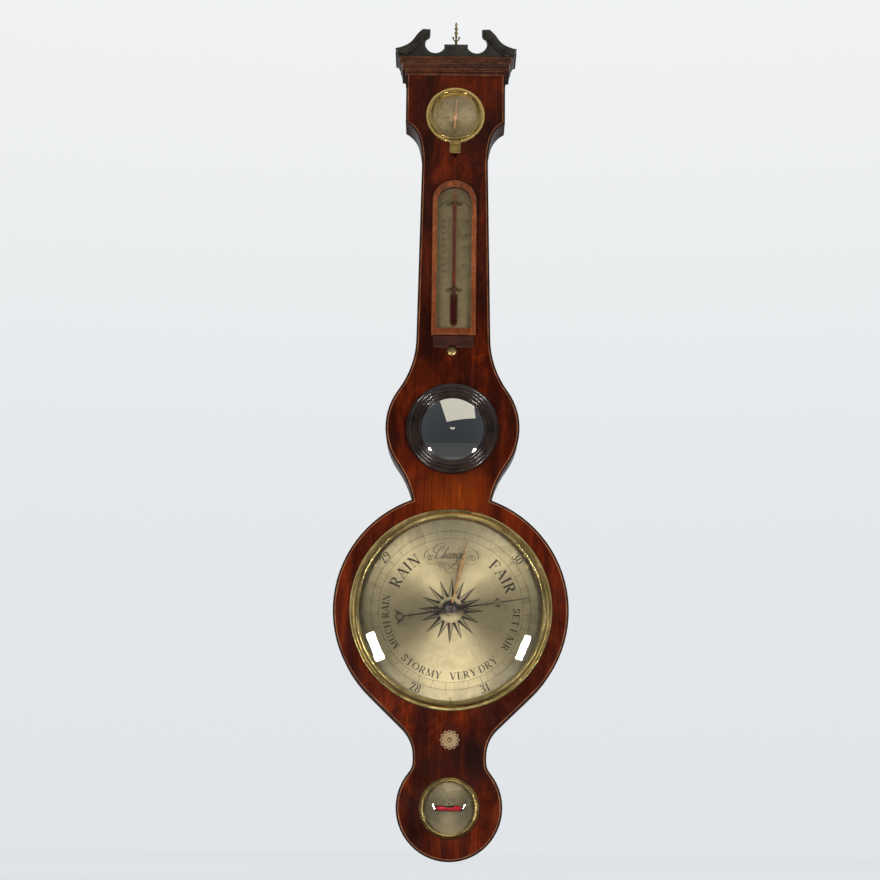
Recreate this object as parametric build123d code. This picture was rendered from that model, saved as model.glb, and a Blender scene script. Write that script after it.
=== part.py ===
from build123d import *
import math
import os

# Wheel barometer in a banjo-shaped mahogany case, with hygrometer, thermometer box,
# convex mirror, 8 inch weather dial and spirit level. All sizes are in millimetres.
#
# Heights are counted up from the lowest point of the case. Depths are counted forward
# from the back of the case, towards the viewer, which is -Y. Every piece is lowered by
# HANGER_HEIGHT as it is written, so that the origin is the hanger hole on the back plane.

# ---- case ----
CASE_DEPTH = 38.0
VENEER = 1.2
EBONY_WIDTH = 2.0
STRING_WIDTH = 1.0
CASE_TOP = 927.0
HEAD_HALF = 58.2
CORNICE_BOTTOM = 906.0
HANGER_HEIGHT = 897.0

BULB_HEIGHT = 58.0
BULB_RADIUS = 58.0
NECK_HALF = 40.2
NECK_LOW_RADIUS = 18.3
NECK_TOP_RADIUS = 44.5
NECK_TOP_HEIGHT = 112.0
SHOULDER_SLOPE = 44.0
DIAL_HEIGHT = 274.0
DRUM_RADIUS = 131.0
BULGE_HEIGHT = 481.0
BULGE_OFFSET = 2.4
BULGE_RADIUS = 73.6
BULGE_FOOT_OFFSET = 149.1
BULGE_FOOT_RADIUS = 106.8
BULGE_FOOT_RISE = 105.0
TRUNK_TOP_HALF = 38.4
COVE_START = 798.0
COVE_LOW_RADIUS = 112.0
COVE_TOP_RADIUS = 31.7
COVE_LEAN = 15.0

# ---- weather dial and its movement ----
DIAL_OPENING = 102.0
DIAL_SEAT = 31.0
DIAL_THICKNESS = 1.2
DIAL_FRONT = DIAL_SEAT + DIAL_THICKNESS
CAVITY_RADIUS = 92.0
BEZEL_RADIUS = 112.4
BEZEL_SIGHT = 101.5
BEZEL_RIM = 108.6
FLANGE_FRONT = 41.0
HINGE_ANGLE = 14.5
BEZEL_HINGE_RADIUS = 109.9
BEZEL_HINGE_DEPTH = 42.2
BEZEL_KNUCKLE = 1.1
BEZEL_PIN = 0.5
INDICATOR_TURN = 81.2
SET_HAND_TURN = 13.1
PULLEY_RADIUS = 7.0
THREAD_RADIUS = 0.15
TUBE_DEPTH = 11.5
LIMB_SHORT_X = PULLEY_RADIUS
LIMB_LONG_X = -20.0
SET_KEY_HEIGHT = 130.7
CORD_DEPTH = 24.5
CORD_RADIUS = 0.4
UPPER_GROOVE = 10.0
LOWER_GROOVE = 5.0
ARBOR_RADIUS = 1.2
ROSETTE_RADIUS = 10.75
PETALS = 12
PETAL_RADIUS = 1.9
PETAL_HOLE = 1.05
KEY_HOLE = 2.6
RUNNING_GAP = 0.05

# ---- siphon tube ----
TUBE_RADIUS = 4.0
TUBE_BORE = 2.3
CISTERN_RADIUS = 6.0
CISTERN_BORE = 4.7
BEND_HEIGHT = 106.0
TUBE_TOP = 919.0
CISTERN_TOP = 235.0
MERCURY_LOW = 137.0
MERCURY_HIGH = 905.6

# ---- back door ----
DOOR_RADIUS = 99.0
DOOR_BACK = 1.5
DOOR_THICKNESS = 3.9
DOOR_CHORD = 93.6
HINGE_X = 95.2
HINGE_DEPTH = 1.3
HINGE_KNUCKLE = 1.2
DOOR_HINGE_SPREAD = 15.5
BUTTON_X = -104.5

# ---- pediment ----
PEDIMENT_TOP = 935.4
PEDIMENT_HALF = 71.4
PEDIMENT_FOOT_HALF = 68.2
BOARD_BACK = 33.0
BOARD_FRONT = 41.0
CUT_X = 24.5
CUT_HEIGHT = 945.2
CUT_RADIUS = 12.2
PLINTH_TOP = 940.0
PLINTH_HALF = 13.4
SWAN_END_X = 30.4
SWAN_END_TOP = 958.8
SWAN_LAYERS = ((41.0, 44.4, 0.0), (44.4, 47.6, 2.0), (47.6, 50.2, 4.2))

# ---- fittings on the face ----
MIRROR_HEIGHT = 479.0
MIRROR_FRAME_RADIUS = 52.9
MIRROR_SIGHT = 36.5
HYGRO_HEIGHT = 855.7
HYGRO_RADIUS = 34.75
HYGRO_SIGHT = 28.5
LEVEL_HEIGHT = 57.0
LEVEL_RADIUS = 33.3
LEVEL_SIGHT = 28.2
THERMO_BOTTOM = 587.7
THERMO_TOP = 773.5
THERMO_HALF = 25.3
THERMO_GLASS_HALF = 20.2


# ---------------------------------------------------------------- drawing helpers

def slab(sketch, back, front):
    """A flat piece: a drawing of (x, height) filled from one depth forward to another."""
    return extrude(Plane.XZ.offset(back) * sketch, amount=front - back)


def disc(radius, back, front, x=0.0, z=0.0):
    return slab(Pos(x, z) * Circle(radius), back, front)


def ring(outer, inner, back, front, x=0.0, z=0.0):
    return disc(outer, back, front, x, z) - disc(inner, back - 1, front + 1, x, z)


def block(x0, x1, z0, z1, back, front):
    return Pos((x0 + x1) / 2, -(back + front) / 2, (z0 + z1) / 2) * Box(x1 - x0, front - back, z1 - z0)


def turned(outline, x=0.0, z=0.0):
    """A piece turned about a line that runs front to back, from (radius, depth) corners."""
    face = make_face(Polyline([(radius, -depth) for radius, depth in outline], close=True))
    return Pos(x, 0, z) * revolve(face, axis=Axis.Y)


def spindle(outline, x, depth):
    """A piece turned about an upright line, from (radius, height) corners."""
    face = make_face(Polyline([(radius, height) for radius, height in outline], close=True))
    return Pos(x, -depth, 0) * revolve(Plane.XZ * face, axis=Axis.Z)


def arc_about(centre, start, end):
    """The arc from start to end about a centre, the short way round."""
    first = math.atan2(start[1] - centre[1], start[0] - centre[0])
    last = math.atan2(end[1] - centre[1], end[0] - centre[0])
    sweep_angle = (last - first + math.pi) % (2 * math.pi) - math.pi
    radius = math.dist(centre, start)
    middle = first + sweep_angle / 2
    through = (centre[0] + radius * math.cos(middle), centre[1] + radius * math.sin(middle))
    return ThreePointArc(start, through, end)


def towards(centre, radius, target):
    """The point at a radius from a centre, in the direction of a target."""
    angle = math.atan2(target[1] - centre[1], target[0] - centre[0])
    return (centre[0] + radius * math.cos(angle), centre[1] + radius * math.sin(angle))


def crossing(centre, radius, other, other_radius):
    """The upper point where a circle meets another that lies up and to its right."""
    span = math.dist(centre, other)
    along = (radius ** 2 - other_radius ** 2 + span ** 2) / (2 * span)
    across = math.sqrt(radius ** 2 - along ** 2)
    unit = ((other[0] - centre[0]) / span, (other[1] - centre[1]) / span)
    return (centre[0] + along * unit[0] - across * unit[1],
            centre[1] + along * unit[1] + across * unit[0])


def dome(radius, back, rise, thickness, x=0.0, z=0.0):
    """A bulged glass: its rim spans back to back + thickness, its middle stands rise higher."""
    sphere = (radius ** 2 + rise ** 2) / (2 * rise)
    half = radius / 2
    half_rise = rise - (sphere - math.sqrt(sphere ** 2 - half ** 2))
    front = back + thickness
    outline = [
        ThreePointArc((0, -back - rise), (half, -back - half_rise), (radius, -back)),
        Line((radius, -back), (radius, -front)),
        ThreePointArc((radius, -front), (half, -front - half_rise), (0, -front - rise)),
        Line((0, -front - rise), (0, -back - rise)),
    ]
    return Pos(x, 0, z) * revolve(make_face(outline), axis=Axis.Y)


def arch(half, bottom, top):
    """A tall window with a half-round head."""
    spring = top - half
    body = Pos(0, (bottom + spring) / 2) * Rectangle(2 * half, spring - bottom)
    return body + Pos(0, spring) * Circle(half)


def around(count, radius, centre_z, start=0.0):
    """Points evenly spaced clockwise round a circle on the face, from the top."""
    for step in range(count):
        angle = math.radians(start + 360.0 * step / count)
        yield radius * math.sin(angle), centre_z + radius * math.cos(angle)


def clockwise(shape, degrees, centre_z):
    """A shape drawn pointing up from the dial centre, turned clockwise as the viewer sees it."""
    return Pos(0, 0, centre_z) * Rot(0, degrees, 0) * shape


def write(name, *pieces):
    placed = [Pos(0, 0, -HANGER_HEIGHT) * piece for piece in pieces]
    shape = placed[0] if len(placed) == 1 else Compound(children=placed)
    export_step(shape, "parts/" + name + ".step")


# ---------------------------------------------------------------- case outline

def half_outline(inset=0.0):
    """The right-hand edge of the case from its lowest point to its top, or a line inside it."""
    bulb = (0.0, BULB_HEIGHT)
    neck_x = NECK_HALF + NECK_LOW_RADIUS
    neck_rise = math.sqrt((BULB_RADIUS + NECK_LOW_RADIUS) ** 2 - neck_x ** 2)
    neck_low = (neck_x, BULB_HEIGHT + neck_rise)
    neck_top = (NECK_HALF + NECK_TOP_RADIUS, NECK_TOP_HEIGHT)
    drum = (0.0, DIAL_HEIGHT)
    foot = (BULGE_FOOT_OFFSET, BULGE_HEIGHT - BULGE_FOOT_RISE)
    head = (BULGE_FOOT_OFFSET, BULGE_HEIGHT + BULGE_FOOT_RISE)
    bulge = (BULGE_OFFSET, BULGE_HEIGHT)
    cove_low = (TRUNK_TOP_HALF + COVE_LOW_RADIUS, COVE_START)
    lean = math.radians(COVE_LEAN)
    cove_top = (cove_low[0] - (COVE_LOW_RADIUS - COVE_TOP_RADIUS) * math.cos(lean),
                cove_low[1] + (COVE_LOW_RADIUS - COVE_TOP_RADIUS) * math.sin(lean))

    slope = math.radians(SHOULDER_SLOPE)
    neck_reach = NECK_TOP_RADIUS + inset
    drum_reach = DRUM_RADIUS - inset
    bottom = (0.0, BULB_HEIGHT - BULB_RADIUS + inset)
    bulb_end = towards(bulb, BULB_RADIUS - inset, neck_low)
    neck_start = (NECK_HALF - inset, neck_low[1])
    neck_end = (NECK_HALF - inset, NECK_TOP_HEIGHT)
    flare = (neck_top[0] - neck_reach * math.sin(slope), neck_top[1] + neck_reach * math.cos(slope))
    drum_start = (drum_reach * math.sin(slope), DIAL_HEIGHT - drum_reach * math.cos(slope))
    cusp = crossing(drum, drum_reach, foot, BULGE_FOOT_RADIUS + inset)
    bulge_low = towards(bulge, BULGE_RADIUS - inset, foot)
    bulge_high = towards(bulge, BULGE_RADIUS - inset, head)
    trunk_foot = (BULGE_FOOT_OFFSET - BULGE_FOOT_RADIUS - inset, head[1])
    trunk_top = (TRUNK_TOP_HALF - inset, COVE_START)
    cove_join = (cove_low[0] - (COVE_LOW_RADIUS + inset) * math.cos(lean),
                 cove_low[1] + (COVE_LOW_RADIUS + inset) * math.sin(lean))
    side = HEAD_HALF - inset
    corner_rise = math.sqrt((COVE_TOP_RADIUS + inset) ** 2 - (cove_top[0] - side) ** 2)
    corner = (side, cove_top[1] + corner_rise)
    return [
        arc_about(bulb, bottom, bulb_end),
        arc_about(neck_low, bulb_end, neck_start),
        Line(neck_start, neck_end),
        arc_about(neck_top, neck_end, flare),
        Line(flare, drum_start),
        arc_about(drum, drum_start, cusp),
        arc_about(foot, cusp, bulge_low),
        arc_about(bulge, bulge_low, bulge_high),
        arc_about(head, bulge_high, trunk_foot),
        Line(trunk_foot, trunk_top),
        arc_about(cove_low, trunk_top, cove_join),
        arc_about(cove_top, cove_join, corner),
        Line(corner, (side, CASE_TOP)),
        Line((side, CASE_TOP), (0, CASE_TOP)),
    ]


def face_within(inset):
    """The whole front of the case, drawn in from its edge by an inset."""
    right_edge = Curve() + half_outline(inset)
    return make_face((right_edge + mirror(right_edge, about=Plane.YZ)).edges())


case_face = face_within(0.0)
string_outer = face_within(EBONY_WIDTH)
string_inner = face_within(EBONY_WIDTH + STRING_WIDTH)
under_cornice = Pos(0, (CORNICE_BOTTOM + CASE_TOP) / 2 + 0.5) * Rectangle(200, CASE_TOP - CORNICE_BOTTOM - 1)
veneer_back = CASE_DEPTH - VENEER


# ---------------------------------------------------------------- screws

def screw(x, z, head_depth, length, inward=1, head=2.4, shank=1.1):
    """A countersunk screw: its slotted head lies at head_depth and it runs inward."""
    tip = head_depth + inward * length
    neck = head_depth + inward * (head - shank)
    body = turned([(0, head_depth), (head, head_depth), (shank, neck), (shank, tip - inward), (0, tip)], x, z)
    slot_depth = head_depth + inward * 0.6
    low, high = sorted((head_depth - inward, slot_depth))
    return body, block(x - head, x + head, z - 0.3, z + 0.3, low, high)


screw_bodies = []
screw_slots = []


def drive(x, z, head_depth, length, inward=1, head=2.4, shank=1.1):
    body, slot = screw(x, z, head_depth, length, inward, head, shank)
    screw_bodies.append(body)
    screw_slots.append(slot)


# three hold the hanger plate, eight the channel covers
for x, z in ((-7.5, 878), (7.5, 878), (0, 912.5)):
    drive(x, z, 0.0, 12)
for x, z in ((-27, 385), (-13.6, 560), (-27, 740), (-13.6, 860)):
    drive(x, z, 0.5, 9, head=1.6, shank=0.8)
for x, z in ((-28, 88), (-28, 165), (17.5, 88), (17.5, 165)):
    drive(x, z, 0.5, 9, head=1.6, shank=0.8)
# three hold the dial, with their heads flush in its face
for x, z in around(3, 98.3, DIAL_HEIGHT, 60):
    drive(x, z, DIAL_FRONT, 10, inward=-1, head=1.7, shank=0.8)
# two hold the pulley bridge to the back of the dial
for z in (DIAL_HEIGHT - 27, DIAL_HEIGHT + 27):
    drive(0, z, 29.0, 2.6, head=1.6, shank=0.8)


def without_screws(shape):
    for body in screw_bodies:
        box = body.bounding_box()
        other = shape.bounding_box()
        apart = (box.min.X > other.max.X or box.max.X < other.min.X or box.min.Z > other.max.Z
                 or box.max.Z < other.min.Z or box.min.Y > other.max.Y or box.max.Y < other.min.Y)
        if not apart:
            shape = shape - body
    return shape


# ---------------------------------------------------------------- hidden spaces in the case

def case_spaces():
    """Everything that is cut out of the case: pockets in its face, channels in its back."""
    door_cut = Pos(0, DIAL_HEIGHT) * Circle(DOOR_RADIUS + 0.4)
    door_cut = door_cut - Pos(HINGE_X + 1.6 + 20, DIAL_HEIGHT) * Rectangle(40, 200)
    return [
        disc(DIAL_OPENING, DIAL_SEAT, CASE_DEPTH + 1, 0, DIAL_HEIGHT),
        disc(CAVITY_RADIUS, -1, DIAL_SEAT + 1, 0, DIAL_HEIGHT),
        slab(door_cut, -1, DOOR_BACK + DOOR_THICKNESS + 0.1),
        disc(12.8, -1, DOOR_BACK, BUTTON_X, DIAL_HEIGHT),
        disc(1.1, 0, 12, BUTTON_X, DIAL_HEIGHT),
        block(LIMB_LONG_X - 6, LIMB_LONG_X + 6, 82, TUBE_TOP + 2, -1, 17),
        block(LIMB_LONG_X - 6, LIMB_SHORT_X + 8, 82, 190, -1, 19),
        block(-14, 14, SET_KEY_HEIGHT - 12.7, 190, 18, 29),
        block(LIMB_LONG_X - 9.2, LIMB_LONG_X + 7.6, 375, TUBE_TOP + 4, -1, 2.6),
        block(-31, 21, 79, 172, -1, 2.6),
        disc(5.0, 28, CASE_DEPTH + 1, 0, SET_KEY_HEIGHT),
        block(-11.2, 11.2, 871.8, 917.2, -1, 2),
        disc(9.0, 1, 14, 0, HANGER_HEIGHT),
        disc(29.6, 20, CASE_DEPTH + 1, 0, HYGRO_HEIGHT),
        block(-2.4, 2.4, 804.6, 815.6, 32, CASE_DEPTH + 1),
        slab(arch(21.8, 593.2, 768.0), 32.4, CASE_DEPTH + 1),
        disc(39.5, 34.4, CASE_DEPTH + 1, 0, MIRROR_HEIGHT),
        disc(29.8, 27, CASE_DEPTH + 1, 0, LEVEL_HEIGHT),
        catch_slot(),
    ]


def catch_slot():
    """The slot in the face that the bezel's tongue drops into, opposite its hinge."""
    slot = block(-3.2, 3.2, 106.4, 109.0, 33.5, CASE_DEPTH + 1)
    return clockwise(slot, HINGE_ANGLE + 180, DIAL_HEIGHT)


def hinge_notches():
    """Shallow notches for the fixed leaves of the back door's two hinges."""
    for centre in (DIAL_HEIGHT - DOOR_HINGE_SPREAD, DIAL_HEIGHT + DOOR_HINGE_SPREAD):
        yield block(HINGE_X + 1.5, 108.1, centre - 7.1, centre + 7.1, -1, 0.8)


def make_case():
    spaces = case_spaces()
    carcass = slab(case_face, 0, veneer_back)
    for space in spaces:
        carcass = carcass - space
    for notch in hinge_notches():
        carcass = carcass - notch
    carcass = without_screws(carcass)
    write("case_carcass", carcass)

    veneer = slab(string_inner + (case_face & under_cornice), veneer_back, CASE_DEPTH)
    for space in spaces:
        veneer = veneer - space
    write("face_veneer", veneer)
    write("ebony_edging", slab(case_face - string_outer - under_cornice, veneer_back, CASE_DEPTH))
    stringing = slab(string_outer - string_inner - under_cornice, veneer_back, CASE_DEPTH)
    write("boxwood_stringing", *stringing.solids())


# ---------------------------------------------------------------- cornice and pediment

def make_cornice():
    """The stepped moulding round the head: a mitred front length and two returns."""
    steps = [(0, 0), (1.3, 0), (1.3, 1.4), (0.9, 1.9), (1.5, 4.9), (4.9, 5.4), (5.3, 6.0), (5.3, 6.9),
             (4.7, 7.6), (4.6, 9.4), (5.2, 11.2), (6.3, 12.6), (6.3, 13.6), (5.2, 14.2), (5.2, 15.0),
             (7.3, 15.7), (7.6, 16.8), (7.3, 19.2), (7.6, 19.8)]
    profile = Polyline([(out, CORNICE_BOTTOM + up) for out, up in steps] + [(7.6, CASE_TOP), (0, CASE_TOP)],
                       close=True)
    path = Polyline((HEAD_HALF, 0, 0), (HEAD_HALF, -CASE_DEPTH, 0),
                    (-HEAD_HALF, -CASE_DEPTH, 0), (-HEAD_HALF, 0, 0))
    section = Plane.XZ * (Pos(HEAD_HALF, 0) * make_face(profile))
    moulding = sweep(section, path=path, transition=Transition.RIGHT)
    reach = 20.0
    mitre = make_face(Polyline((-HEAD_HALF, -CASE_DEPTH), (HEAD_HALF, -CASE_DEPTH),
                               (HEAD_HALF + reach, -CASE_DEPTH - reach),
                               (-HEAD_HALF - reach, -CASE_DEPTH - reach), close=True))
    front_zone = Pos(0, 0, CORNICE_BOTTOM - 5) * extrude(mitre, amount=CASE_TOP - CORNICE_BOTTOM + 10)
    write("cornice_front", moulding & front_zone)
    write("cornice_returns", *(moulding - front_zone).solids())


def swan_outline(lift):
    """The raked moulding between its upper curve and its lower one, raised by lift."""
    tail = (PEDIMENT_HALF, PEDIMENT_TOP - 0.6)
    upper = [tail, (61.2, 937.9), (53.0, 943.2), (47.7, 950.2), (41.6, 957.2)]
    lower = [(60.5, CASE_TOP), (54.5, 931.6), (48.6, 936.2), (43.4, 943.0), (38.4, 949.2)]
    lower = [(x + 0.45 * lift, z + 0.6 * lift) for x, z in lower]
    shoulder = (37.4, SWAN_END_TOP + 0.4)
    corner = (SWAN_END_X, SWAN_END_TOP)
    heel = (SWAN_END_X, SWAN_END_TOP - 4.2)
    nose = (33.2 + 0.4 * lift, 949.6 + 0.8 * lift)
    foot = (PEDIMENT_FOOT_HALF, lower[0][1])
    edges = [
        Spline(upper),
        ThreePointArc(upper[-1], (39.8, 958.8), shoulder),
        Line(shoulder, corner),
        Line(corner, heel),
        ThreePointArc(heel, (SWAN_END_X + 0.7, 951.8 + 0.6 * lift), nose),
        Line(nose, lower[-1]),
        Spline(lower[::-1]),
        Line(lower[0], foot),
        Line(foot, tail),
    ]
    return make_face(edges)


def return_side(inner):
    """The end of a pediment return, from an inner line out to its moulded edge."""
    top = PEDIMENT_TOP - 0.6
    return make_face(Polyline((inner, CASE_TOP), (HEAD_HALF + 8.6, CASE_TOP),
                              (HEAD_HALF + 9.4, CASE_TOP + 2.4), (HEAD_HALF + 11.2, CASE_TOP + 4.2),
                              (PEDIMENT_HALF, CASE_TOP + 4.8),
                              (PEDIMENT_HALF, top), (inner, top), close=True))


def make_pediment():
    rounds = Pos(CUT_X, CUT_HEIGHT) * Circle(CUT_RADIUS) + Pos(-CUT_X, CUT_HEIGHT) * Circle(CUT_RADIUS)
    plinth = Pos(0, (CASE_TOP + PLINTH_TOP) / 2) * Rectangle(2 * 36, PLINTH_TOP - CASE_TOP)
    wing = make_face(Polyline((35.0, CASE_TOP), (64.5, CASE_TOP), (62.0, 931.5), (54.5, 937.0),
                              (48.5, 944.0), (42.0, 951.5), (36.0, 954.0), (33.8, 951.0), (35.0, 944.0),
                              close=True))
    board = slab(plinth + wing + mirror(wing, about=Plane.YZ) - rounds, BOARD_BACK, BOARD_FRONT)
    cap_low = block(-PLINTH_HALF, PLINTH_HALF, PLINTH_TOP, PLINTH_TOP + 1.2, BOARD_BACK, BOARD_FRONT + 1.2)
    cap_top = block(-PLINTH_HALF - 0.6, PLINTH_HALF + 0.6, PLINTH_TOP + 1.2, PLINTH_TOP + 3.2,
                    BOARD_BACK, BOARD_FRONT + 2.0)
    write("pediment_board", board + cap_low + cap_top)

    layers = [slab(swan_outline(lift), back, front) for back, front, lift in SWAN_LAYERS]
    right = layers[0] + layers[1] + layers[2]
    write("swan_necks", right, mirror(right, about=Plane.YZ))

    return_right = slab(return_side(HEAD_HALF - 6), 0, BOARD_BACK)
    return_right = return_right + slab(return_side(64.6), BOARD_BACK, BOARD_FRONT)
    write("pediment_returns", return_right, mirror(return_right, about=Plane.YZ))


def make_finial():
    base = PLINTH_TOP + 3.2
    outline = [(0, 0), (2.8, 0), (2.8, 0.8), (1.8, 1.6), (1.5, 3.6), (1.7, 6.0), (1.1, 7.6), (0.9, 10.0),
               (1.6, 12.6), (1.2, 14.2), (2.1, 16.0), (2.1, 17.6), (1.1, 19.0), (1.0, 20.0),
               (2.0, 21.6), (1.9, 23.2), (0.9, 24.8), (0.8, 25.6), (1.6, 27.2), (1.3, 28.8), (0, 31.0)]
    depth = (BOARD_BACK + BOARD_FRONT) / 2
    body = spindle([(radius, base + height) for radius, height in outline], 0, depth)
    arm_height = base + 10.4
    arms = Pos(0, -depth, arm_height) * Rot(90, 0, 0) * Torus(3.3, 0.75)
    body = body + (arms & block(-5, 5, base, arm_height, depth - 3, depth + 3))
    for side in (-1, 1):
        body = body + Pos(side * 3.6, -depth, arm_height + 0.7) * Sphere(1.25)
    write("finial", body)


# ---------------------------------------------------------------- fittings on the face

def make_hygrometer():
    z = HYGRO_HEIGHT
    cup = turned([(0, 20.2), (29.3, 20.2), (29.3, CASE_DEPTH), (28.3, CASE_DEPTH), (28.3, 33.6),
                  (27.3, 33.6), (27.3, 21.4), (2.6, 21.4), (2.6, 23.4), (0.8, 23.4), (0.8, 21.4),
                  (0, 21.4)], 0, z)
    write("hygrometer_cup", cup)
    write("hygrometer_dial", ring(28.2, 1.9, 33.6, 34.4, 0, z))
    write("oat_beard", turned([(0, 21.5), (0.7, 21.5), (0.45, 28), (0.6, 35.6), (0, 35.6)], 0, z))
    needle = Polyline((0, 20.6), (-0.45, 19.6), (-0.8, 4.5), (-2.2, 3.2), (-2.5, 1.2), (-1.7, 0),
                      (-2.5, -1.2), (-2.2, -3.4), (-0.7, -5.0), (-1.2, -12.5), (0, -16.2))
    half = make_face([*needle.edges(), Line((0, -16.2), (0, 20.6))])
    blade = slab(half + mirror(half, about=Plane.YZ), 36.4, 37.0)
    hub = turned([(0.7 + RUNNING_GAP, 34.9), (1.5, 34.9), (1.5, 36.4), (1.9, 36.4), (1.9, 37.8), (0, 38.4),
                  (0, 35.8), (0.7 + RUNNING_GAP, 35.8)])
    write("hygrometer_needle", clockwise(blade + hub, 4.0, z))
    bezel = turned([(30.2, CASE_DEPTH), (HYGRO_RADIUS, CASE_DEPTH), (HYGRO_RADIUS, 39.4), (34.2, 40.1),
                    (31.4, 40.2), (31.0, 41.8), (30.0, 42.7), (29.2, 42.6), (HYGRO_SIGHT, 42.0),
                    (HYGRO_SIGHT, 41.2), (30.2, 40.65)], 0, z)
    write("hygrometer_bezel", bezel)
    write("hygrometer_glass", dome(30.1, 39.1, 4.2, 1.5, 0, z))

    keeper = block(-6.5, 6.5, 809.4, 820.2, CASE_DEPTH + 0.1, CASE_DEPTH + 1.5)
    keeper = keeper + block(-6.5, 6.5, 819.0, 824.0, 40.7, 42.0)
    keeper = keeper + block(-6.5, 6.5, 818.6, 820.2, CASE_DEPTH + 0.1, 42.0)
    keeper = keeper + Pos(0, -CASE_DEPTH - 1.9, 809.6) * Rot(0, 90, 0) * Cylinder(1.4, 13)
    keeper = keeper + block(-2.1, 2.1, 810.9, 815.2, 33, CASE_DEPTH + 0.3)
    write("hygrometer_keeper", keeper)


def make_thermometer():
    outer = arch(THERMO_HALF, THERMO_BOTTOM, THERMO_TOP)
    front_outer = arch(THERMO_HALF - 1.2, THERMO_BOTTOM + 1.2, THERMO_TOP - 1.2)
    sight = arch(THERMO_GLASS_HALF, 595.2, 766.0)
    rebate = arch(21.6, 593.8, 767.4)
    box = slab(outer, CASE_DEPTH, 45.2) + slab(front_outer, 45.2, 46.2)
    box = box - slab(rebate, CASE_DEPTH - 1, 44.6) - slab(sight, 44, 47)
    write("thermometer_box", box)
    write("thermometer_glass", slab(arch(21.4, 594.0, 767.2), 43.2, 44.4))
    write("thermometer_scale", slab(arch(21.4, 594.0, 767.2), 32.8, 33.8))

    axis_depth = 38.2
    bulb_radius = 4.3
    bulb_bore = bulb_radius - 0.7
    stem_radius = 3.1
    stem_bore = 1.1
    bulb_low = 599.6
    bulb_top = bulb_low + 36.0
    stem_top = 758.5
    glass = spindle([(0, bulb_low), (2.6, bulb_low + 0.4), (bulb_radius, bulb_low + 3),
                     (bulb_radius, bulb_top), (stem_radius, bulb_top + 5), (stem_radius, stem_top),
                     (1.6, stem_top + 2.6),
                     (0, stem_top + 3)], 0, axis_depth)
    bore = spindle([(0, bulb_low + 1.2), (2.4, bulb_low + 1.6), (bulb_bore, bulb_low + 3.6),
                    (bulb_bore, bulb_top - 0.6), (stem_bore, bulb_top + 4.4), (stem_bore, stem_top),
                    (0, stem_top)], 0, axis_depth)
    write("thermometer_tube", glass - bore)
    clips = []
    for z in (643.6, 748.0):
        band = Pos(0, -axis_depth, z) * Cylinder(stem_radius + 0.5, 2.6)
        ears = Pos(0, z) * Rectangle(12, 2.2)
        for side in (-1, 1):
            ears = ears + Pos(side * 6.4, z) * Ellipse(3.3, 2.3)
        band = band + slab(ears, 33.8, 34.6)
        band = band + block(-3.6, 3.6, z - 1.3, z + 1.3, 33.8, axis_depth)
        band = band - Pos(0, -axis_depth, z) * Cylinder(stem_radius + 0.01, 10)
        for side in (-1, 1):
            band = band - disc(0.9, 33, 36, side * 6.6, z)
        clips.append(band)
    write("thermometer_clips", *clips)

    button_x = -1.5
    button_z = 569.8
    keeper = block(-23.2, 23.2, 573.0, 586.6, CASE_DEPTH, 43.4) - disc(6.5, 37, 50, button_x, button_z)
    keeper = keeper + block(-22.4, 22.4, 573.8, 585.8, 43.4, 44.2) - disc(6.5, 37, 50, button_x, button_z)
    write("keeper_block", keeper)
    button = turned([(0, CASE_DEPTH), (6.05, CASE_DEPTH), (6.05, 39.4), (5.2, 40.4), (2.5, 41.2), (0, 41.4)],
                    button_x, button_z)
    slot = block(-7, 7, -0.5, 0.5, 40.2, 42)
    write("keeper_screw", button - Pos(button_x, 0, button_z) * Rot(0, 25, 0) * slot)


def make_mirror():
    z = MIRROR_HEIGHT
    frame = turned([(39.0, CASE_DEPTH), (MIRROR_FRAME_RADIUS, CASE_DEPTH), (MIRROR_FRAME_RADIUS, 40.4),
                    (51.6, 42.8), (47.6, 45.6), (43.0, 46.2), (39.0, 45.6), (MIRROR_SIGHT, 43.4),
                    (MIRROR_SIGHT, 42.1), (39.0, 41.3)], 0, z)
    for radius, depth in ((50.4, 42.8), (46.6, 45.2), (42.8, 45.8), (39.2, 44.8)):
        frame = frame + Pos(0, -depth, z) * Rot(90, 0, 0) * Torus(radius, 1.7)
    write("mirror_frame", frame)
    write("mirror_glass", dome(38.7, 39.2, 6.0, 2.0, 0, z))
    write("mirror_backing", disc(38.7, 34.6, 39.0, 0, z))


def make_level():
    z = LEVEL_HEIGHT
    bezel = turned([(29.9, CASE_DEPTH), (LEVEL_RADIUS, CASE_DEPTH), (LEVEL_RADIUS, 39.4), (32.6, 40.3),
                    (31.6, 40.8), (30.8, 42.4), (29.6, 42.8), (LEVEL_SIGHT, 42.3), (LEVEL_SIGHT, 41.45),
                    (29.9, 40.75)], 0, z)
    write("level_bezel", bezel)
    write("level_glass", dome(29.8, 39.2, 5.6, 1.5, 0, z))
    slot = Pos(0, z) * Rectangle(30.4, 6.2)
    write("level_dial", slab(Pos(0, z) * Circle(29.6) - slot, 33.4, 34.2))
    tube = Pos(0, -33.6, z) * Rot(0, 90, 0) * Cylinder(2.75, 29.0)
    bore = Pos(0, -33.6, z) * Rot(0, 90, 0) * Cylinder(1.95, 27.0)
    write("level_vial", tube - bore)


# ---------------------------------------------------------------- weather dial

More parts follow.
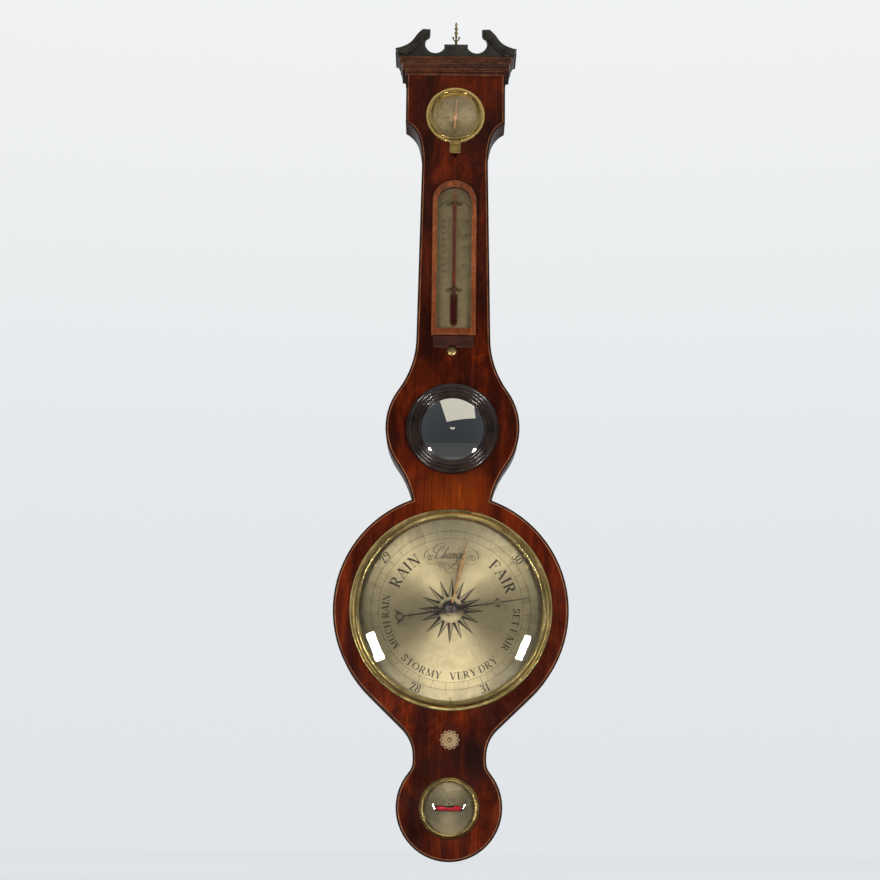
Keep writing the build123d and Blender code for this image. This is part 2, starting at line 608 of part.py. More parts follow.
def make_bezel():
    """The fixed brass flange, and the hinged rim that carries the bulged glass."""
    z = DIAL_HEIGHT
    axis = Pos(0, -BEZEL_HINGE_DEPTH, BEZEL_HINGE_RADIUS) * Rot(0, 90, 0)
    hole = axis * Cylinder(BEZEL_PIN + RUNNING_GAP, 40)
    leaf_half = 1.9
    leaf_low = BEZEL_RIM - 1.0
    leaf = block(-leaf_half, leaf_half, leaf_low, BEZEL_HINGE_RADIUS, 41.7, 42.8)
    moving = leaf + axis * Cylinder(BEZEL_KNUCKLE, 2 * leaf_half) - hole
    write("bezel_hinge_leaf", clockwise(moving, HINGE_ANGLE, z))

    rim = turned([(104.8, CASE_DEPTH), (BEZEL_RIM, CASE_DEPTH), (BEZEL_RIM, 42.4), (108.2, 44.2),
                  (106.8, 46.0), (104.8, 46.8), (103.0, 46.6), (BEZEL_SIGHT, 45.6), (BEZEL_SIGHT, 44.5),
                  (104.8, 43.75)])
    rim = rim - block(-leaf_half, leaf_half, leaf_low, BEZEL_RIM + 1, 41.7, 42.8)
    tongue = block(-2.6, 2.6, 107.0, 108.4, 34.0, CASE_DEPTH + 0.6)
    thumb_piece = block(-2.4, 2.4, 107.6, 111.0, 41.4, 42.6) + block(-2.4, 2.4, 110.0, 111.0, 42.0, 43.8)
    rim = clockwise(rim, HINGE_ANGLE, z) + clockwise(tongue + thumb_piece, HINGE_ANGLE + 180, z)
    write("main_bezel", rim)
    write("dial_glass", dome(104.6, 41.7, 11.0, 2.0, 0, z))

    flange = turned([(BEZEL_RIM + 0.2, CASE_DEPTH), (BEZEL_RADIUS, CASE_DEPTH), (BEZEL_RADIUS, 40.2),
                     (111.4, FLANGE_FRONT), (BEZEL_RIM + 0.2, FLANGE_FRONT)])
    flange = flange + axis * Cylinder(BEZEL_PIN, 11.2)
    for side in (-1, 1):
        centre = side * 3.8
        foot = block(centre - 1.8, centre + 1.8, 109.0, 110.8, FLANGE_FRONT - 0.5, BEZEL_HINGE_DEPTH)
        flange = flange + foot + Pos(centre, 0, 0) * axis * Cylinder(BEZEL_KNUCKLE, 3.6)
    write("bezel_flange", clockwise(flange, HINGE_ANGLE, z))


def ring_sketch(outer, inner, x, z):
    return Pos(x, z) * Circle(outer) - Pos(x, z) * Circle(inner)


def indicator_sketch():
    """The blued hand, drawn pointing up: blade with open diamond, tail with ring and arms."""
    blade = make_face(Polyline((-1.0, 0), (-0.55, 40), (-0.5, 47), (0.5, 47), (0.55, 40), (1.0, 0),
                               close=True))
    tip = make_face(Polyline((-0.55, 58), (-0.25, 88.5), (0.25, 88.5), (0.55, 58), close=True))
    diamond_points = [(0, 46.0), (-1.0, 49.6), (-6.0, 52.7), (-1.0, 55.8), (0, 59.4),
                      (1.0, 55.8), (6.0, 52.7), (1.0, 49.6)]
    diamond = make_face(Polyline(diamond_points, close=True))
    opening = make_face(Polyline((0, -4.4), (-2.0, -1.6), (-3.6, 0), (-2.0, 1.6), (0, 4.4),
                                 (2.0, 1.6), (3.6, 0), (2.0, -1.6), close=True))
    diamond = diamond - Pos(0, 52.7) * opening
    hand = blade + tip + diamond + Pos(0, 40.5) * Rectangle(4.6, 0.7) + Pos(0, 0) * Circle(6.0)
    for side in (-1, 1):
        hand = hand + ring_sketch(3.2, 1.7, 0, side * 11.2)
        hand = hand + Pos(0, side * 7.2) * Rectangle(3.0, 4.0)
        hand = hand + Pos(side * 2.0, 0) * ring_sketch(2.6, 1.3, 0, side * 15.6)
        hand = hand + Pos(side * -2.0, 0) * ring_sketch(2.6, 1.3, 0, side * 15.6)
    tail = make_face(Polyline((-1.0, 0), (-0.6, -53.5), (0.6, -53.5), (1.0, 0), close=True))
    hand = hand + tail + Pos(0, -45.5) * Rectangle(5.0, 0.7) + ring_sketch(4.6, 3.6, 0, -57.4)
    for side in (-1, 1):
        arm = make_face(Polyline((side * 2.4, -53.6), (side * 5.0, -57.0), (side * 8.2, -62.0),
                                 (side * 5.4, -60.4), (side * 3.6, -58.0), (side * 2.2, -54.6), close=True))
        hand = hand + arm
    return hand


def set_hand_sketch():
    """The gilt set hand, drawn pointing up: a slim blade that widens to a knot."""
    blade = make_face(Polyline((-0.9, 0), (-1.5, 30), (-1.9, 49.5), (1.9, 49.5), (1.5, 30), (0.9, 0),
                               close=True))
    upper = make_face(Polyline((-1.6, 55.5), (-1.0, 70), (0, 84.0), (1.0, 70), (1.6, 55.5), close=True))
    knot = Pos(0, 50.4) * Circle(2.7) + Pos(0, 54.8) * Circle(2.7) + Pos(0, 52.6) * Rectangle(3.2, 6.0)
    return blade + upper + knot + Circle(5.2)


def grooved_wheel(groove, flange, back, front):
    """A cord wheel with a vee groove round its rim."""
    middle = (back + front) / 2
    quarter = (front - back) / 4
    return turned([(0, back), (flange, back), (flange, back + quarter * 0.6),
                   (groove, middle - quarter * 0.5), (groove, middle + quarter * 0.5),
                   (flange, front - quarter * 0.6), (flange, front), (0, front)])


def make_dial():
    z = DIAL_HEIGHT
    pipe_radius = 3.0
    pipe_bore = ARBOR_RADIUS + RUNNING_GAP
    dial = ring(DIAL_OPENING - 0.3, pipe_radius + RUNNING_GAP, DIAL_SEAT, DIAL_FRONT, 0, z)
    write("dial_plate", without_screws(dial))

    boss = turned([(0, 37.8), (6.0, 37.8), (5.6, 38.6), (3.0, 39.0), (2.6, 39.8), (0, 40.2)])
    bore = disc(0.9, 30, 42)
    for_hand = slab(indicator_sketch(), 37.0, 37.8) + boss
    write("indicator_hand", clockwise(for_hand - bore, INDICATOR_TURN, z))
    arbor = turned([(0, 6.0), (0.8, 6.0), (0.8, 8.6), (ARBOR_RADIUS, 8.6), (ARBOR_RADIUS, 36.9), (0.9, 36.9),
                    (0.9, 40.4), (0, 40.6)], 0, z)
    write("indicator_arbor", arbor)
    pulley = grooved_wheel(PULLEY_RADIUS - THREAD_RADIUS - 0.1, 8.4, TUBE_DEPTH - 1.6, TUBE_DEPTH + 1.6)
    pulley = pulley + disc(3.0, TUBE_DEPTH, 16.5) - disc(ARBOR_RADIUS, 0, 30)
    for x, height in around(5, 4.9, 0):
        pulley = pulley - disc(1.1, 0, 14.0, x, height)
    write("float_pulley", Pos(0, 0, z) * pulley)

    bridge = block(-4, 4, z - 24, z + 24, 6.6, 8.2)
    for side in (-1, 1):
        low, high = sorted((z + side * 22, z + side * 24))
        bridge = bridge + block(-4, 4, low, high, 6.6, DIAL_SEAT)
        low, high = sorted((z + side * 22, z + side * 30.5))
        bridge = bridge + block(-4, 4, low, high, 29.0, DIAL_SEAT)
    bridge = bridge - disc(0.8 + RUNNING_GAP, 5, 10, 0, z)
    write("pulley_bridge", without_screws(bridge))

    pipe = disc(pipe_radius, 22.0, 35.8) + disc(4.4, 27.2, DIAL_SEAT - 0.3)
    pipe = pipe + grooved_wheel(UPPER_GROOVE, UPPER_GROOVE + 1.5, CORD_DEPTH - 1.9, CORD_DEPTH + 1.9)
    write("set_pipe", Pos(0, 0, z) * (pipe - disc(pipe_bore, 15, 40)))
    hand = slab(set_hand_sketch(), 34.4, 35.2) + disc(4.2, 35.2, 36.0) - disc(pipe_radius, 30, 40)
    write("set_hand", clockwise(hand, SET_HAND_TURN, z))


def make_setting_work():
    """The square arbor behind the rosette, and the endless cord up to the set hand's pipe."""
    z = SET_KEY_HEIGHT
    arbor = disc(2.6, 22.0, 34.0) + disc(4.4, 26.6, 28.8)
    arbor = arbor + grooved_wheel(LOWER_GROOVE, LOWER_GROOVE + 1.5, CORD_DEPTH - 1.9, CORD_DEPTH + 1.9)
    arbor = arbor + block(-1.6, 1.6, -1.6, 1.6, 34.0, 38.6)
    write("set_arbor", Pos(0, 0, z) * arbor)
    write("set_arbor_bush", ring(5.0, 2.6 + RUNNING_GAP, 29.0, veneer_back, 0, z))

    upper = UPPER_GROOVE + CORD_RADIUS + 0.1
    lower = LOWER_GROOVE + CORD_RADIUS + 0.1
    span = DIAL_HEIGHT - SET_KEY_HEIGHT
    lean = math.asin((upper - lower) / span)
    cosine = math.cos(lean)
    sine = math.sin(lean)
    top_right = (upper * cosine, DIAL_HEIGHT - upper * sine)
    low_right = (lower * cosine, z - lower * sine)
    top_left = (-top_right[0], top_right[1])
    low_left = (-low_right[0], low_right[1])
    loop = [
        Line(low_right, top_right),
        ThreePointArc(top_right, (0, DIAL_HEIGHT + upper), top_left),
        Line(top_left, low_left),
        ThreePointArc(low_left, (0, z - lower), low_right),
    ]
    path = Plane.XZ.offset(CORD_DEPTH) * Wire([edge.edge() for edge in loop])
    start = Plane(origin=path.edges()[0] @ 0, z_dir=path.edges()[0] % 0)
    write("set_cord", sweep(start * Circle(CORD_RADIUS), path=path))

    petals = Circle(ROSETTE_RADIUS - PETAL_RADIUS)
    for x, height in around(PETALS, ROSETTE_RADIUS - PETAL_RADIUS, 0):
        petals = petals + Pos(x, height) * Circle(PETAL_RADIUS)
    for x, height in around(PETALS, ROSETTE_RADIUS - PETAL_RADIUS, 0):
        petals = petals - Pos(x, height) * Circle(PETAL_HOLE)
    for x, height in around(PETALS, KEY_HOLE + 1.9, 180 / PETALS):
        petals = petals - Pos(x, height) * Circle(0.45)
    front = CASE_DEPTH + 1.2
    rosette = slab(petals - Circle(KEY_HOLE), CASE_DEPTH, front) + ring(3.6, KEY_HOLE, front, front + 0.6)
    write("set_rosette", Pos(0, 0, z) * rosette)


# ---------------------------------------------------------------- siphon tube and its float

def siphon_shape(long_radius, short_radius, top, short_top, dome_top):
    """The two limbs and the bend between them, as one solid of the given radii."""
    centre = (LIMB_LONG_X + LIMB_SHORT_X) / 2
    bend = (LIMB_SHORT_X - LIMB_LONG_X) / 2
    widening = 118.0

    def upright(radius, x, low, high):
        return Pos(x, -TUBE_DEPTH, (low + high) / 2) * Cylinder(radius, high - low)

    half_ring = Pos(centre, -TUBE_DEPTH, BEND_HEIGHT) * Rot(90, 0, 0) * Torus(bend, long_radius)
    half_ring = half_ring & block(centre - 60, centre + 60, 0, BEND_HEIGHT, -10, 60)
    shape = half_ring + upright(long_radius, LIMB_LONG_X, BEND_HEIGHT, top)
    shape = shape + upright(long_radius, LIMB_SHORT_X, BEND_HEIGHT, widening)
    cone = spindle([(0, widening), (long_radius, widening), (short_radius, widening + 5), (0, widening + 5)],
                   LIMB_SHORT_X, TUBE_DEPTH)
    shape = shape + cone + upright(short_radius, LIMB_SHORT_X, widening + 5, short_top)
    if dome_top:
        shape = shape + Pos(LIMB_LONG_X, -TUBE_DEPTH, top) * Sphere(long_radius)
    return shape


def make_siphon():
    outer = siphon_shape(TUBE_RADIUS, CISTERN_RADIUS, TUBE_TOP - TUBE_RADIUS, CISTERN_TOP, True)
    inner = siphon_shape(TUBE_BORE, CISTERN_BORE, TUBE_TOP - TUBE_RADIUS, CISTERN_TOP + 1, True)
    write("siphon_tube", outer - inner)
    mercury = siphon_shape(TUBE_BORE - 0.02, CISTERN_BORE - 0.02, MERCURY_HIGH, MERCURY_LOW, False)
    write("mercury", mercury)

    float_bottom = MERCURY_LOW + 0.15
    weight = [(0, 0), (2.4, 0), (3.7, 1.2), (3.7, 10.5), (2.4, 12.0), (0.8, 12.6), (0.8, 14.0), (0, 14.4)]
    weight = [(radius, float_bottom + height) for radius, height in weight]
    write("float", spindle(weight, LIMB_SHORT_X, TUBE_DEPTH))
    counter_bottom = 196.0
    counter = [(0, 0), (1.6, 0), (2.4, 1.0), (2.4, 9.5), (1.6, 10.6), (0.6, 11.0), (0.6, 12.4), (0, 12.8)]
    counter = [(radius, counter_bottom + height) for radius, height in counter]
    write("counterweight", spindle(counter, -PULLEY_RADIUS, TUBE_DEPTH))
    for name, x, low in (("float_thread", LIMB_SHORT_X, float_bottom + 14.4),
                         ("counterweight_thread", -PULLEY_RADIUS, counter_bottom + 12.8)):
        middle = (low + DIAL_HEIGHT) / 2
        write(name, Pos(x, -TUBE_DEPTH, middle) * Cylinder(THREAD_RADIUS, DIAL_HEIGHT - low))

    corks = []
    for z in (430.0, 600.0, 760.0, 880.0):
        cork = block(LIMB_LONG_X - 5.9, LIMB_LONG_X + 5.9, z - 5, z + 5, 2.8, 16.9)
        corks.append(cork - Pos(LIMB_LONG_X, -TUBE_DEPTH, z) * Cylinder(TUBE_RADIUS, 20))
    write("tube_corks", *corks)


# ---------------------------------------------------------------- back of the case

def make_back():
    z = DIAL_HEIGHT
    door_sketch = Pos(0, z) * Circle(DOOR_RADIUS) - Pos(DOOR_CHORD + 20, z) * Rectangle(40, 220)
    door = slab(door_sketch, DOOR_BACK, DOOR_BACK + DOOR_THICKNESS)
    door = door - disc(6.0, -1, DOOR_BACK + 2.0, -82, z)
    write("back_door", door)

    pin_radius = 0.55
    moving = []
    fixed = []
    for centre in (z - DOOR_HINGE_SPREAD, z + DOOR_HINGE_SPREAD):
        def knuckle(low, high, radius):
            return Pos(HINGE_X, -HINGE_DEPTH, centre + (low + high) / 2) * Cylinder(radius, high - low)
        hole = knuckle(-8, 8, pin_radius + RUNNING_GAP)
        leaf = block(80, HINGE_X, centre - 2.3, centre + 2.3, 0.8, DOOR_BACK)
        leaf = leaf + block(80, DOOR_CHORD, centre - 7, centre + 7, 0.8, DOOR_BACK)
        moving.append(leaf + knuckle(-2.3, 2.3, HINGE_KNUCKLE) - hole)
        plate = block(HINGE_X + 1.6, 108, centre - 7, centre + 7, 0.1, 0.8) + knuckle(-7, 7, pin_radius)
        for low, high in ((-7, -2.5), (2.5, 7)):
            plate = plate + knuckle(low, high, HINGE_KNUCKLE)
            plate = plate + block(HINGE_X, 108, centre + low, centre + high, 0.1, 0.8)
        fixed.append(plate)
    write("door_hinge_leaves", *moving)
    write("door_hinge_plates", *fixed)

    button = Rectangle(7, 17) + Pos(0, 8.5) * Circle(3.5) + Pos(0, -8.5) * Circle(3.5)
    turn_button = slab(button, 0.15, 1.35) + disc(1.05, 1.35, 11.5)
    write("door_button", Pos(BUTTON_X, 0, z) * turn_button)

    upper_cover = block(LIMB_LONG_X - 9, LIMB_LONG_X + 7.4, 375.2, TUBE_TOP + 3.8, 0.5, 2.5)
    lower_cover = block(-30.8, 20.8, 79.2, 171.8, 0.5, 2.5)
    write("channel_covers", without_screws(upper_cover), without_screws(lower_cover))

    hanger = block(-11, 11, 872, 917, 0, 2) - disc(5.0, -1, 3, 0, HANGER_HEIGHT)
    write("hanger_plate", without_screws(hanger))
    write("case_screws", *[body - slot for body, slot in zip(screw_bodies, screw_slots)])


os.makedirs("parts", exist_ok=True)
make_case()
make_cornice()
make_pediment()
make_finial()
make_hygrometer()
make_thermometer()
make_mirror()
make_level()
make_bezel()
make_dial()
make_setting_work()
make_siphon()
make_back()
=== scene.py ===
import math
import random

import bmesh
import bpy
from mathutils import Matrix, Vector


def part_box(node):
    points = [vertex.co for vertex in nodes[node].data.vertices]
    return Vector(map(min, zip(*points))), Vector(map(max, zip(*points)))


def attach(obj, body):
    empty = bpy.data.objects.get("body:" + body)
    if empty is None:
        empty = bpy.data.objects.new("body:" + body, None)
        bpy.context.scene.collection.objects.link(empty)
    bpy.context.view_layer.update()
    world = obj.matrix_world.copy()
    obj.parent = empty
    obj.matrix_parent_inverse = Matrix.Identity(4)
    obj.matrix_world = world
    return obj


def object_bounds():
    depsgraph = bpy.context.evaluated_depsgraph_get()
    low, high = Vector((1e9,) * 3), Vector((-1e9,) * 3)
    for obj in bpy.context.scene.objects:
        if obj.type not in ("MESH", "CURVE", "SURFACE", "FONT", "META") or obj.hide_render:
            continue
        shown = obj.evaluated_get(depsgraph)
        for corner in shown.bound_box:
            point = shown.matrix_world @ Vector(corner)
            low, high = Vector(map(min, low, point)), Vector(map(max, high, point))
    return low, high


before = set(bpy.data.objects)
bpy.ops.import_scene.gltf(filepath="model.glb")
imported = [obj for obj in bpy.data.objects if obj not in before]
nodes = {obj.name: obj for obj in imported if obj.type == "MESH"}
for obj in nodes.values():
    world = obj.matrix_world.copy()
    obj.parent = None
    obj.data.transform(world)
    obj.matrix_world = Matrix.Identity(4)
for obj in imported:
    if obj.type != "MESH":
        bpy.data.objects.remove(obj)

# Metres, with x to the right seen from the front, z up, and the viewer on the side of -y.
cad_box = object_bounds()
MM = 0.001


def middle(node):
    low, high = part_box(node)
    return (low + high) / 2


def front_of(node):
    """The y of a CAD node's face that looks at the viewer."""
    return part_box(node)[0].y


def add_node(tree, kind, **settings):
    node = tree.nodes.new(kind)
    for key, value in settings.items():
        setattr(node, key, value)
    return node


def set_stops(node, stops):
    """Fills a colour ramp with colours, or with greys where a stop holds one number."""
    elements = node.color_ramp.elements
    while len(elements) < len(stops):
        elements.new(0.5)
    for element, (position, colour) in zip(elements, stops):
        element.position = position
        if isinstance(colour, (int, float)):
            colour = (colour, colour, colour)
        element.color = (*colour, 1.0)


def place_mesh(name, mesh, look):
    """Makes an object of a finished bmesh."""
    data = bpy.data.meshes.new(name)
    mesh.to_mesh(data)
    mesh.free()
    data.materials.append(look.material)
    piece = bpy.data.objects.new(name, data)
    bpy.context.scene.collection.objects.link(piece)
    return piece


# ---------------------------------------------------------------- looks

class Look:
    """A node material: one Principled shader with the patterns that feed it."""

    def __init__(self, name, metallic=0.0, roughness=0.5):
        self.material = bpy.data.materials.new(name)
        self.material.use_nodes = True
        self.tree = self.material.node_tree
        self.tree.nodes.clear()
        self.out = self.add("ShaderNodeOutputMaterial")
        self.shader = self.add("ShaderNodeBsdfPrincipled")
        self.link(self.shader.outputs[0], self.out.inputs["Surface"])
        self.set("Metallic", metallic)
        self.set("Roughness", roughness)
        self.place = self.add("ShaderNodeTexCoord").outputs["Object"]

    def add(self, kind, **settings):
        return add_node(self.tree, kind, **settings)

    def link(self, source, target):
        self.tree.links.new(source, target)

    def feed(self, socket, value):
        if isinstance(value, bpy.types.NodeSocket):
            self.link(value, socket)
        elif isinstance(value, (tuple, list)) and len(value) == 3 and socket.type == "RGBA":
            socket.default_value = (*value, 1.0)
        else:
            socket.default_value = value

    def set(self, name, value):
        self.feed(self.shader.inputs[name], value)

    def scaled(self, x, y, z, source=None, shift=(0, 0, 0), turn=(0, 0, 0)):
        node = self.add("ShaderNodeMapping")
        node.inputs["Scale"].default_value = (x, y, z)
        node.inputs["Location"].default_value = shift
        node.inputs["Rotation"].default_value = turn
        self.link(source or self.place, node.inputs["Vector"])
        return node.outputs[0]

    def noise(self, vector, scale=1.0, detail=4.0, rough=0.55, bend=0.0):
        node = self.add("ShaderNodeTexNoise")
        node.inputs["Scale"].default_value = scale
        node.inputs["Detail"].default_value = detail
        node.inputs["Roughness"].default_value = rough
        node.inputs["Distortion"].default_value = bend
        self.link(vector, node.inputs["Vector"])
        return node.outputs["Fac"]

    def ramp(self, value, *stops):
        """Colours or greys along a value from 0 to 1."""
        node = self.add("ShaderNodeValToRGB")
        set_stops(node, stops)
        self.link(value, node.inputs[0])
        return node.outputs[0]

    def mix(self, factor, first, second):
        """The colours of a mix node are its inputs 6 and 7, and its mixed colour is output 2."""
        node = self.add("ShaderNodeMix", data_type="RGBA")
        self.feed(node.inputs[0], factor)
        self.feed(node.inputs[6], first)
        self.feed(node.inputs[7], second)
        return node.outputs[2]

    def math(self, operation, first, second=0.0):
        node = self.add("ShaderNodeMath", operation=operation)
        self.feed(node.inputs[0], first)
        self.feed(node.inputs[1], second)
        return node.outputs[0]

    def parts(self, vector):
        node = self.add("ShaderNodeSeparateXYZ")
        self.link(vector, node.inputs[0])
        return node.outputs

    def span(self, value, low, high, to_low=0.0, to_high=1.0):
        node = self.add("ShaderNodeMapRange")
        self.link(value, node.inputs["Value"])
        ends = {"From Min": low, "From Max": high, "To Min": to_low, "To Max": to_high}
        for name, number in ends.items():
            node.inputs[name].default_value = number
        return node.outputs[0]

    def reach(self, x, z):
        """Distance in metres from a point, seen from the front."""
        moved = self.parts(self.scaled(1, 1, 1, shift=(-x, 0, -z)))
        return self.math("SQRT", self.math("ADD", self.math("MULTIPLY", moved[0], moved[0]),
                                           self.math("MULTIPLY", moved[2], moved[2])))

    def brush_round(self, amount):
        """Stretches highlights as lathe marks do, round the y axis."""
        self.set("Anisotropic", amount)
        tangent = self.add("ShaderNodeTangent", direction_type="RADIAL", axis="Y")
        self.link(tangent.outputs[0], self.shader.inputs["Tangent"])

    def bump(self, height, strength, distance, after=None):
        node = self.add("ShaderNodeBump")
        node.inputs["Strength"].default_value = strength
        node.inputs["Distance"].default_value = distance
        self.link(height, node.inputs["Height"])
        if after is not None:
            self.link(after, node.inputs["Normal"])
        return node.outputs[0]

    def rounded(self, radius):
        """A normal that looks as if the edges were rounded, and a mask of those edges."""
        bevel = self.add("ShaderNodeBevel", samples=6)
        bevel.inputs["Radius"].default_value = radius
        plain = self.add("ShaderNodeNewGeometry").outputs["Normal"]
        dot = self.add("ShaderNodeVectorMath", operation="DOT_PRODUCT")
        self.link(bevel.outputs[0], dot.inputs[0])
        self.link(plain, dot.inputs[1])
        return bevel.outputs[0], self.span(dot.outputs["Value"], 1.0, 0.8)


FOOT_Z, HEAD_Z = -0.90, 0.08     # between these heights the veneer's warmth changes


def wood(name, dark, mid, light, figure=26.0, band=22.0, fibre=620.0, gloss=0.55, rough=0.34,
         tone=None, across=False, edge=None, pores=0.55, clouds=(), sheen=0.22, edge_width=0.0006,
         quirk_shade=None):
    """Wood under polish: bands, flames and smoke along the grain, fibres and pores.

    figure, band and fibre are patterns to the metre, and across turns the grain to lie along x.
    """
    look = Look(name)
    turn = (0, math.radians(90), 0) if across else (0, 0, 0)
    base = look.scaled(1, 1, 1, turn=turn)
    sway = look.noise(look.scaled(9, 9, 5, base), 1.0, 2.0)
    swayed = look.add("ShaderNodeVectorMath", operation="ADD")
    pushed = look.add("ShaderNodeCombineXYZ")
    look.link(look.span(sway, 0.0, 1.0, -0.010, 0.010), pushed.inputs[0])
    look.link(base, swayed.inputs[0])
    look.link(pushed.outputs[0], swayed.inputs[1])
    grain = swayed.outputs[0]
    bands = look.noise(look.scaled(band * 1.9, band * 0.6, band * 0.10, grain), 1.0, 3.0, 0.6, 0.6)
    mottle = look.noise(look.scaled(figure * 2.2, figure, figure * 0.55, grain), 1.0, 5.0, 0.62, 1.1)
    fibres = look.noise(look.scaled(fibre, fibre, fibre * 0.026, grain), 1.0, 5.0, 0.7)
    dashes = look.noise(look.scaled(fibre * 2.6, fibre * 2.6, fibre * 0.12, grain), 1.0, 2.0)
    flames = look.noise(look.scaled(figure * 1.1, figure * 0.5, figure * 0.80, grain), 1.0, 4.0, 0.66, 2.2)
    smoke = look.noise(look.scaled(13.0, 9.0, 8.0, grain), 1.0, 4.0, 0.6, 0.8)
    colour = look.ramp(mottle, (0.30, mid), (0.50, mid), (0.70, light))
    colour = look.mix(look.ramp(flames, (0.50, 0.0), (0.66, 0.80)), colour, light)
    if tone is not None:
        height = look.parts(look.place)[2]
        warm = look.ramp(look.span(height, FOOT_Z, HEAD_Z), *tone)
        wobble = look.math("MULTIPLY", warm, look.span(mottle, 0.25, 0.75, 0.55, 1.35))
        colour = look.mix(wobble, colour, light)
    colour = look.mix(look.ramp(bands, (0.36, 0.70), (0.50, 0.20), (0.60, 0.0)), colour, dark)
    colour = look.mix(look.ramp(smoke, (0.34, 0.70), (0.52, 0.0)), colour, dark)
    for cloud_x, cloud_z, cloud_radius, weight, shade in clouds:
        away = look.reach(cloud_x, cloud_z)
        patch = look.span(away, cloud_radius, cloud_radius * 0.2, 0.0, weight)
        patch = look.math("MULTIPLY", patch, look.span(mottle, 0.3, 0.6, 1.2, 0.5))
        colour = look.mix(patch, colour, shade)
    colour = look.mix(look.ramp(fibres, (0.30, 0.55), (0.62, 0.0)), colour, dark)
    deep = tuple(part * 0.4 for part in dark)
    colour = look.mix(look.ramp(dashes, (0.28, pores), (0.42, 0.0)), colour, deep)
    # Painted shade in bands by height, for the dark grooves and undersides of a moulding.
    if quirk_shade is not None:
        foot, head, stops = quirk_shade
        line = look.ramp(look.span(look.parts(look.place)[2], foot, head), *stops)
        uneven = look.span(look.noise(look.scaled(60, 60, 300), 1.0, 3.0), 0.3, 0.7, 0.55, 1.1)
        colour = look.mix(look.math("MULTIPLY", line, uneven), colour, MAHOGANY_DARK)
    normal, mask = look.rounded(edge_width)
    # Edges take the edge colour: rubbed wear, and on the cornice and the thermometer frame a painted
    # highlight too.
    if edge is not None:
        worn = look.ramp(look.noise(look.place, 160.0, 3.0), (0.36, 0.1), (0.58, 0.85))
        colour = look.mix(look.math("MULTIPLY", mask, worn), colour, edge)
    look.set("Base Color", colour)
    smear = look.noise(look.place, 34.0, 4.0)
    look.set("Roughness", look.span(smear, 0.3, 0.7, rough - 0.06, rough + 0.10))
    look.set("Coat Weight", gloss)
    look.set("Coat Roughness", 0.08)
    look.set("Specular IOR Level", sheen)
    both = look.bump(fibres, 0.10, 0.0004, normal)
    look.set("Normal", look.bump(smear, 0.10, 0.0012, both))
    return look


def metal(name, bright, dull, dark, rough=0.28, spots=90.0, wear=0.6, turned=False, grime=0.5,
          grit=0.12):
    """Old metal: tarnish in patches, specks of dirt, rubbed bright along the edges."""
    look = Look(name, metallic=1.0)
    patches = look.noise(look.place, spots, 5.0, 0.6, 0.3)
    fine = look.noise(look.place, spots * 9.0, 4.0, 0.65)
    colour = look.ramp(patches, (0.34, dull), (0.62, bright))
    colour = look.mix(look.ramp(fine, (0.30, grime), (0.50, 0.0)), colour, dark)
    normal, mask = look.rounded(0.0005)
    rubbed = tuple(min(1.0, part * 1.25) for part in bright)
    colour = look.mix(look.math("MULTIPLY", mask, wear), colour, rubbed)
    look.set("Base Color", colour)
    look.set("Roughness", look.span(patches, 0.25, 0.75, rough - 0.06, rough + 0.10))
    look.set("Normal", look.bump(fine, grit, 0.0002, normal))
    if turned:
        look.brush_round(0.45)
    return look


def silvered(name, centre, radius, bright, grey, worn, brushed=0.8, rough=0.40, stain=0.5,
             spots=70.0):
    """Silvered brass, brushed round its centre, with its silver worn and stained."""
    look = Look(name, metallic=1.0)
    reach = look.reach(centre[0], centre[2])
    age = look.noise(look.place, spots, 6.0, 0.62, 0.4)
    specks = look.noise(look.place, spots * 16.0, 3.0, 0.6)
    ring = look.add("ShaderNodeCombineXYZ")
    look.link(look.math("MULTIPLY", reach, 2600.0), ring.inputs[0])
    lines = look.noise(ring.outputs[0], 1.0, 3.0, 0.7)
    colour = look.mix(look.ramp(age, (0.35, 0.75), (0.60, 0.0)), bright, grey)
    outer = look.math("MULTIPLY", look.span(reach, radius * 0.78, radius),
                      look.span(age, 0.25, 0.65, 1.0, 0.35))
    colour = look.mix(outer, colour, worn)
    colour = look.mix(look.ramp(specks, (0.26, stain), (0.36, 0.0)), colour, (0.10, 0.075, 0.045))
    colour = look.mix(look.ramp(lines, (0.30, 0.28), (0.55, 0.0)), colour, grey)
    look.set("Base Color", colour)
    look.set("Roughness", look.span(age, 0.3, 0.7, rough + 0.08, rough - 0.04))
    look.brush_round(brushed)
    look.set("Normal", look.bump(lines, 0.06, 0.0001))
    return look


def plain_paint(name, first, second, scale, rough, bump=0.15, edge=None, gloss=0.0, metallic=0.0,
                sheen=0.5):
    """A surface of two shades in a fine pattern, lighter at its edges: rubbed wear, and on the reeded frame a
    painted highlight.
    """
    look = Look(name, metallic=metallic)
    cloud = look.noise(look.place, scale, 5.0, 0.6, 0.2)
    grit = look.noise(look.place, scale * 8.0, 3.0, 0.6)
    colour = look.mix(look.ramp(cloud, (0.35, 0.0), (0.65, 1.0)), first, second)
    normal, mask = look.rounded(0.0006)
    if edge is not None:
        rub_and_glint = look.math("MULTIPLY", mask, look.ramp(cloud, (0.36, 0.1), (0.60, 0.9)))
        colour = look.mix(rub_and_glint, colour, edge)
    look.set("Base Color", colour)
    look.set("Roughness", look.span(grit, 0.3, 0.7, rough - 0.08, rough + 0.10))
    look.set("Coat Weight", gloss)
    look.set("Coat Roughness", 0.10)
    look.set("Specular IOR Level", sheen)
    look.set("Normal", look.bump(grit, bump, 0.0003, normal))
    return look


